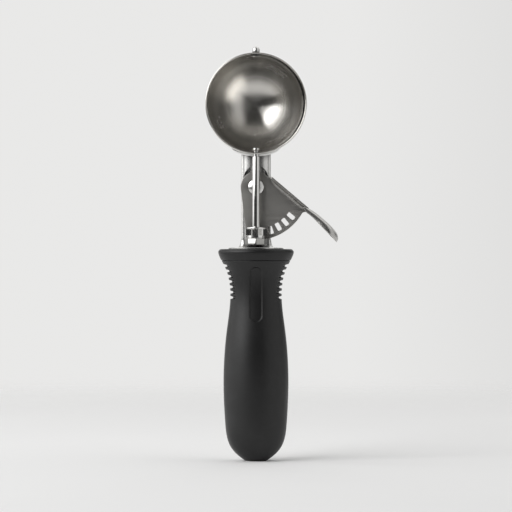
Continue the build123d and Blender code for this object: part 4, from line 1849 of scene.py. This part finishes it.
    def flange_section(self) -> Array:
        """Ring of the rolled flange across its run.

        Returns:
            Distance from the pivot and depth, one row each.
        """
        face = self.plate_front - self.flange_proud
        back = self.plate_front + self.thickness + self.flange_proud
        outer = self.flange_distance
        inner = outer - self.thickness
        tip = self.plate_front - self.flange_width
        bend = self.flange_bend
        leg = inner - bend - self.flange_leg
        roll = self.flange_roll
        return np.concatenate(
            [
                np.array([[leg, face]]),
                arc((inner - bend, face - bend), bend, 90, 0, 10),
                rounded_profile(
                    [
                        (inner, face - bend, 0),
                        (inner, tip, self.flange_round),
                        (outer, tip, self.flange_round),
                        (outer, back - bend - roll, 0),
                    ]
                )[1:],
                arc((outer - bend - roll, back - bend - roll), bend + roll, 0, 90, 12)[1:],
                np.array([[leg, back]]),
            ]
        )

    def add_flange(self, skin: Skin) -> None:
        """Carries the flange's section along the upper edge and closes its ends.

        Args:
            skin: Skin of the stamping.
        """
        ring = self.flange_section()
        middle = ring.mean(axis=0)
        ends = np.array(self.flange_end_rows)
        between = np.linspace(*self.flange_rows)
        run = np.concatenate([ends, between, self.flange_length - ends[::-1]])
        along = self.flange_start + run
        from_end = np.minimum(run, run[-1] - run)
        close = 1 - np.clip(from_end / self.flange_close_run, 0, 1)
        shrink = 1 - self.flange_close * close**2
        rows = middle + (ring - middle) * shrink[:, None, None]
        inner = self.flange_distance - self.thickness
        least = self.flange_least
        grown = (least + (1 - least) * smooth_step(from_end, 0.0, self.flange_taper))[:, None]
        off = np.minimum(rows[..., 0] - inner, 0)
        rows[..., 0] += np.where(rows[..., 0] < inner, off * (grown - 1), 0)
        near = self.plate_front - rows[..., 1]
        bent = (near > 0) & (near < self.flange_bend + self.flange_slack)
        fillet = bent & (rows[..., 0] <= inner)
        rows[..., 1] = np.where(fillet, self.plate_front - near * grown, rows[..., 1])
        skin.bar(self.placed(self.by_flange(rows[..., 0], along[:, None]), rows[..., 1]))

    def pad_side(self, share: Array) -> Array:
        """Half-width of the pad before its tip closes.

        It swells with level ends from the flange's half-width to the widest place.

        Args:
            share: Share of the pad's length.

        Returns:
            The half-width at each share.
        """
        start = self.pad_neck / self.pad_width
        swell = smooth_step(share, self.pad_swell_start, self.pad_widest)
        return self.pad_width / 2 * (start + (1 - start) * swell)

    def pad_plan(self, count: int) -> Array:
        """Ring of the pad seen from above, closed as a superellipse past the widest place.

        Args:
            count: Number of points.

        Returns:
            Run along the flange and offset across, one row each.
        """
        turn = np.linspace(0, 2 * np.pi, count, endpoint=False)
        along = (1 - np.cos(turn)) / 2
        past = np.clip((along - self.pad_widest) / (1 - self.pad_widest), 0, 1)
        close = (1 - past**self.pad_power) ** (1 / self.pad_power)
        open_end = smooth_step(along, -self.pad_mouth, self.pad_mouth)
        half = self.pad_side(along) * close * open_end
        return np.stack([along * self.pad_length, np.sign(np.sin(turn)) * half], 1)

    def add_pad(self, skin: Skin) -> None:
        """Adds the crowned thumb pad, a sheet with a rounded rim over an egg-shaped plan.

        A ring at share s lies at s of the plan from its middle and falls as a circle of a
        power of s, by a depth that grows from the flange on. Along, the sheet first lifts a
        little and then falls with the square of the run past the bend's start, and its
        middle line moves from the flange's to the plate's.

        Args:
            skin: Skin of the stamping.
        """
        plan = self.pad_plan(140)
        heart = np.array([self.pad_length * self.pad_heart, 0.0])
        half = self.thickness / 2
        edge = np.radians(np.linspace(90, -90, 9))
        share = np.linspace(0, 1, 24)
        trim = 1 - half / (self.pad_width / 2)
        rim = trim + (1 - trim) * np.cos(edge)
        reach = np.concatenate([share * trim, rim[1:-1], share[::-1] * trim])
        face = np.full(len(share), half)
        level = np.concatenate([face, half * np.sin(edge)[1:-1], -face])
        spot = heart + (plan - heart) * reach[:, None, None]
        along, across = spot[..., 0], spot[..., 1]
        first, then = self.pad_roll
        low, high = self.pad_roll_shares
        drop = first * smooth_step(along, *self.pad_roll_run)
        drop += then * smooth_step(along, self.pad_length * low, self.pad_length * high)
        rolled = self.pad_roll_end * reach[:, None] ** self.pad_roll_power
        crown = drop * (np.sqrt(1 - rolled**2) - 1)
        lift = self.pad_lift * smooth_step(along, 0.0, self.pad_length * self.pad_lift_share)
        bent = np.maximum(along - self.pad_bend_start, 0.0)
        height = crown + lift - bent**2 / (2 * self.pad_bend) + level[:, None] - half
        flat = self.by_flange(self.flange_distance + height, self.pad_start + along)
        middle = self.plate_front + self.thickness / 2
        flange_middle = self.plate_front + (self.thickness - self.flange_width) / 2
        centred = smooth_step(along, 0.0, self.pad_blend)
        depth = flange_middle + (middle - flange_middle) * centred + across
        skin.patch(self.placed(flat, depth), wrap_columns=True)

    def make_rivet(self) -> bpy.types.Object:
        """Rivet turned about its level axis: domed head in front, clenched tail behind.

        Returns:
            The rivet.
        """
        seat = self.plate_front - self.side_gap
        dome = self.rivet_height
        ball = (self.rivet_head**2 + dome**2) / (2 * dome)
        spread = math.degrees(math.asin(self.rivet_head / ball))
        tail = self.neck_back + self.rivet_fit
        tail_end = self.neck_back + self.rivet_tail_height
        cap = arc((0.0, seat - dome + ball), ball, -90, -90 + spread * self.rivet_cap, 20)
        profile = np.concatenate(
            [
                cap,
                rounded_profile(
                    [
                        (self.rivet_head, seat - self.rivet_rim, 0),
                        (self.rivet_head, seat, 0),
                        (self.rivet, seat, 0),
                        (self.rivet, tail, 0),
                        (self.rivet_tail, tail, 0),
                        (self.rivet_tail, tail_end, self.tail_round),
                        (0.0, tail_end, 0),
                    ]
                ),
            ]
        )
        centre = (0.0, 0.0, self.pivot)
        return make_turned("lever_rivet", profile, centre, Axle.FORWARD, 96)


# ================================================================ stage
@dataclass(frozen=True)
class Panel:
    """Bright side of the room.

    Middle and half-width are compass angles from the camera's side towards +X, low and high
    are elevations, all in degrees. Level is its radiance.
    """

    middle: float
    half: float
    low: float
    high: float
    level: float


@dataclass(frozen=True)
class KeyLight:
    """Soft round light: where it stands, its size in metres and its middle's radiance."""

    compass: float = -49.0
    rise: float = 27.5
    size: float = 2.15
    level: float = 3.6
    distance: float = 2000.0
    aim: float = 150.0
    fade: float = 0.16


@dataclass
class Studio:
    """Pale floor, soft lights and a level camera with a long lens."""

    middle_height: float = 113.0
    distance: float = 1500.0
    view_width: float = 282.6
    sensor_width: float = 36.0
    clip_end: float = 50.0
    floor_half: float = 6000.0
    key: KeyLight = KeyLight()
    backdrop: tuple[float, float] = (0.735, 0.815)
    table_front: float = 400.0
    table_left: float = 450.0
    table_soft: float = 0.03
    paper_roughness: float = 0.9
    paper_specular: float = 0.1
    fibre_grain: float = 6.0
    fibre_detail: float = 6.0
    paper_low: Colour = (0.86, 0.86, 0.86)
    paper_high: Colour = (0.88, 0.88, 0.88)
    # Paper painted darker towards the camera: painted light falloff.
    painted_falloff_run: tuple[float, float] = (0.15, -0.3)
    painted_falloff_level: float = 0.89
    floor_fade: tuple[float, float] = (0.35, 1.1)
    panel_soft: float = 0.07
    backdrop_run: tuple[float, float] = (0.11, 0.035)
    light_colour: Colour = (1.0, 0.997, 0.987)
    dark_side: float = 0.04
    panels: tuple[Panel, ...] = (
        Panel(66.0, 34.0, -30.0, 45.0, 0.68),
        Panel(-92.0, 27.0, -5.0, 62.0, 1.35),
        Panel(-136.0, 18.0, -10.0, 60.0, 0.55),
        Panel(126.0, 27.0, -10.0, 14.0, 0.22),
        Panel(126.0, 27.0, 14.0, 60.0, 0.65),
        Panel(180.0, 29.0, -12.0, 80.0, 0.95),
        Panel(84.0, 23.0, 42.0, 72.0, 1.2),
        Panel(180.0, 125.0, 55.0, 95.0, 1.2),
        Panel(0.0, 200.0, 66.0, 95.0, 0.62),
    )

    def make_camera(self) -> None:
        """Level camera that looks along +Y at the object's middle height."""
        lens = bpy.data.cameras.new("camera")
        lens.sensor_width = self.sensor_width
        lens.sensor_fit = "HORIZONTAL"
        lens.lens = lens.sensor_width * self.distance / self.view_width
        lens.clip_end = self.clip_end
        camera = bpy.data.objects.new("camera", lens)
        camera.location = (0.0, -self.distance * MM, self.middle_height * MM)
        camera.rotation_euler = (math.radians(90), 0.0, 0.0)
        bpy.context.scene.collection.objects.link(camera)
        bpy.context.scene.camera = camera

    def make_floor(self) -> bpy.types.Object:
        """Wide pale floor, its paper painted darker towards the camera as painted light falloff,
        that fades into the backdrop's light towards the horizon.

        Returns:
            The floor.
        """
        edge = self.floor_half
        steps = np.linspace(-edge, edge, 13)
        x, y = np.meshgrid(steps, steps, indexing="ij")
        grid = np.stack([x, y, np.zeros_like(x)], -1)
        skin = Skin()
        skin.patch(grid)
        floor = skin.make("floor")
        material, nodes, paper = new_material("floor_paper")
        paper.inputs["Roughness"].default_value = self.paper_roughness
        paper.inputs["Specular IOR Level"].default_value = self.paper_specular
        point = nodes.add("TexCoord").outputs["Object"]
        fibre = nodes.noise(point, self.fibre_grain, Detail=self.fibre_detail)
        tone = nodes.tint(fibre, self.paper_low, self.paper_high)
        parts = nodes.add("SeparateXYZ", {0: point})
        # Painted light falloff: the paper's colour drops towards the camera.
        near = nodes.ramp(parts.outputs[1], self.painted_falloff_run, (1.0, self.painted_falloff_level))
        paper_with_painted_falloff = nodes.add(
            "Mix", {0: 1.0, 6: tone, 7: near}, data_type="RGBA", blend_type="MULTIPLY"
        )
        nodes.link(paper_with_painted_falloff.outputs[2], paper.inputs["Base Color"])
        away = nodes.add("VectorMath", {0: point}, operation="LENGTH")
        fade = nodes.ramp(away.outputs["Value"], self.floor_fade, shape="SMOOTHERSTEP")
        front, left = (
            nodes.ramp(place, (self.table_soft - border * MM, -self.table_soft - border * MM))
            for place, border in (
                (parts.outputs[1], self.table_front),
                (parts.outputs[0], self.table_left),
            )
        )
        beyond = nodes.math("MAXIMUM", front, left)
        clear = nodes.blend(nodes.add("LightPath").outputs[0], beyond, fade)
        mixed = nodes.add(
            "MixShader",
            {0: clear, 1: paper.outputs[0], 2: nodes.add("BsdfTransparent").outputs[0]},
        )
        nodes.link(mixed.outputs[0], nodes.tree.nodes["Material Output"].inputs[0])
        floor.data.materials.append(material)
        return floor

    def make_world(self) -> None:
        """Pale backdrop for the camera; for all else a room with bright and dark sides."""
        world = bpy.data.worlds.new("room")
        world.use_nodes = True
        bpy.context.scene.world = world
        tree = world.node_tree
        nodes = Nodes(tree)
        way = nodes.add("TexCoord").outputs["Generated"]
        shape = self.panel_group()
        light: object = self.dark_side
        for panel in self.panels:
            mask = nodes.group(
                shape,
                {
                    "Way": way,
                    "Middle": math.radians(panel.middle),
                    "Half": math.radians(panel.half),
                    "Low": math.sin(math.radians(panel.low)),
                    "High": math.sin(math.radians(panel.high)),
                },
            )
            light = nodes.blend(mask.outputs["Mask"], light, panel.level)
        parts = nodes.add("SeparateXYZ", {0: way})
        seen = nodes.ramp(parts.outputs[0], self.backdrop_run, self.backdrop)
        strength = nodes.blend(nodes.add("LightPath").outputs[0], light, seen)
        background = tree.nodes["Background"]
        background.inputs[0].default_value = (*self.light_colour, 1.0)
        nodes.link(strength, background.inputs[1])

    def panel_group(self) -> bpy.types.NodeTree:
        """Mask of a soft-edged panel in the room, by its compass range and its rise.

        The compass angle runs from the camera's side (-Y) towards +X; the rise is the sine of
        the elevation.

        Returns:
            The group.
        """
        tree, nodes, start, end = new_group(
            "room_panel",
            {
                "Way": ("vector", None),
                "Middle": ("float", 0.0),
                "Half": ("float", 1.0),
                "Low": ("float", 0.0),
                "High": ("float", 1.0),
            },
            {"Mask": "float"},
        )
        back = nodes.math("MULTIPLY", start.outputs["Middle"], -1.0)
        turned_way = nodes.add(
            "VectorRotate",
            {"Vector": start.outputs["Way"], "Angle": back},
            rotation_type="Z_AXIS",
        )
        parts = nodes.add("SeparateXYZ", {0: turned_way.outputs[0]})
        compass = nodes.math(
            "ABSOLUTE",
            nodes.math("ARCTAN2", parts.outputs[0], nodes.math("MULTIPLY", parts.outputs[1], -1.0)),
        )
        soft = self.panel_soft
        past = nodes.math("SUBTRACT", compass, start.outputs["Half"])
        over = nodes.math("SUBTRACT", parts.outputs[2], start.outputs["Low"])
        under = nodes.math("SUBTRACT", start.outputs["High"], parts.outputs[2])
        side, above, below = (
            nodes.ramp(value, (low, -low), shape="SMOOTHSTEP")
            for value, low in ((past, soft), (over, -soft), (under, -soft))
        )
        mask = nodes.math("MULTIPLY", side, nodes.math("MULTIPLY", above, below))
        nodes.link(mask, end.inputs["Mask"])
        return tree

    def make_key(self) -> None:
        """Soft round key light, its panel fading towards its edge."""
        key = self.key
        lamp = bpy.data.lights.new("key", "AREA")
        lamp.shape = "RECTANGLE"
        lamp.size = lamp.size_y = key.size
        lamp.energy = key.level * math.pi * key.size * key.size
        lamp.use_nodes = True
        nodes = Nodes(lamp.node_tree)
        spot = nodes.add("SeparateXYZ", {0: nodes.add("NewGeometry").outputs["Parametric"]})
        across, along = (nodes.math("SUBTRACT", spot.outputs[axis], 0.5) for axis in (0, 1))
        off = nodes.length(across, along)
        strength = nodes.ramp(off, (0.5, 0.5 - key.fade), shape="SMOOTHSTEP")
        nodes.link(strength, lamp.node_tree.nodes["Emission"].inputs["Strength"])
        turn, lift = math.radians(key.compass), math.radians(key.rise)
        way = Vector(
            (math.sin(turn) * math.cos(lift), -math.cos(turn) * math.cos(lift), math.sin(lift))
        )
        light = bpy.data.objects.new("key", lamp)
        light.location = Vector((0.0, 0.0, key.aim * MM)) + way * key.distance * MM
        light.rotation_euler = way.to_track_quat("Z", "Y").to_euler()
        light.visible_camera = False
        bpy.context.scene.collection.objects.link(light)

    def build(self) -> None:
        """Sets up the camera, the floor, the room and the lights."""
        self.make_camera()
        self.make_floor()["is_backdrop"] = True
        self.make_world()
        self.make_key()
        bpy.context.scene.view_settings.view_transform = "Standard"


# ================================================================ assembly
class Scoop:
    """The whole scoop: its sub-assemblies, fitted to the frame, and its finishes."""

    def __init__(self, frame: Frame) -> None:
        """Fits every sub-assembly to the frame."""
        self.frame = frame
        washer, shaft = frame.box("pivot_washer"), frame.box("spindle")
        neck_box = frame.box("neck_front")
        pivot = washer.middle(2)
        axis = (0.0, shaft.middle(1))
        centre = (0.0, axis[1], frame.box("bowl").middle(2))
        plate_back = float(washer.low[1]) - LeverAssembly.side_gap

        self.grip = GripAssembly(frame.box("grip_collar").top, frame.box("grip_sleeve").top)
        self.bowl = BowlAssembly(centre)
        self.neck = NeckAssembly(
            neck_box.bottom, float(neck_box.low[1]), centre, pivot, frame.box("neck_foot")
        )
        self.spindle = SpindleAssembly(
            axis, shaft, frame.box("pinion").bottom, centre[2],
            frame.box("pinion_collar"), frame.box("lower_bush"),
        )
        self.lever = LeverAssembly(
            pivot, plate_back - LeverAssembly.thickness, float(frame.box("neck_back").high[1])
        )
        bowl_middle = (centre[0] * MM, centre[1] * MM, centre[2] * MM)
        self.looks = make_finishes(Effects(), bowl_middle, self.lever.flange_slope)

    def make_detailed(self) -> None:
        """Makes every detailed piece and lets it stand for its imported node."""
        looks = self.looks
        detailed = (
            (self.grip.make_sleeve, "grip_sleeve", "grip_rubber", looks.grip_rubber),
            (self.grip.make_collar, "grip_collar", "grip_rubber", looks.grip_rubber),
            (self.bowl.make_shell, "bowl", "satin_steel", looks.spun_steel),
            (self.bowl.make_blade, "wiper_blade", "satin_steel", looks.spun_steel),
            (self.bowl.make_pin, "upper_pivot_pin", "polished_steel", looks.polished_steel),
            (self.bowl.make_saddle, "bowl_saddle", "polished_steel", looks.polished_steel),
            (self.neck.make_channel, "neck_front", "polished_steel", looks.polished_steel),
            (self.spindle.make_spindle, "spindle", "polished_steel", looks.turned_steel),
            (self.spindle.make_collar, "pinion_collar", "polished_steel", looks.turned_steel),
            (self.lever.make_lever, "trigger_lever", "lever_steel", looks.lever_steel),
            (self.lever.make_rivet, "pivot_rivet", "polished_steel", looks.polished_steel),
            (self.spindle.make_bush, "lower_bush", "polished_steel", looks.shaded_bush_steel),
            (self.neck.make_foot, "neck_foot", "polished_steel", looks.polished_steel),
        )
        made = {}
        for make, node, slot, look in detailed:
            made[node] = make()
            self.frame.stand_in(made[node], node, slot, look)
        self.lever.buff_pad(made["trigger_lever"], looks.buffed_steel)

    def dress_packed(self) -> None:
        """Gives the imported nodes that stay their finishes."""
        looks = self.looks
        packed = {
            "pinion": looks.turned_steel,
            "thrust_washer": looks.turned_steel,
            "pivot_washer": looks.turned_steel,
            "neck_back": looks.polished_steel,
            "return_spring": looks.spring_steel,
            "tang": looks.lever_steel,
            "tang_pins": looks.lever_steel,
            "handle_core": looks.core_plastic,
        }
        for node, look in packed.items():
            self.frame.dress(node, look)


def main() -> None:
    """Builds the stage and the scoop, and works out both boxes."""
    logging.basicConfig(level=logging.INFO, format="%(message)s")
    frame = Frame()
    Studio().build()
    scoop = Scoop(frame)
    scoop.make_detailed()
    scoop.dress_packed()

    boxes = {
        "cad": [[float(part) for part in corner] for corner in frame.bounds],
        "visual": [[float(part) for part in corner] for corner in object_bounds()],
    }


if __name__ == "__main__":
    main()
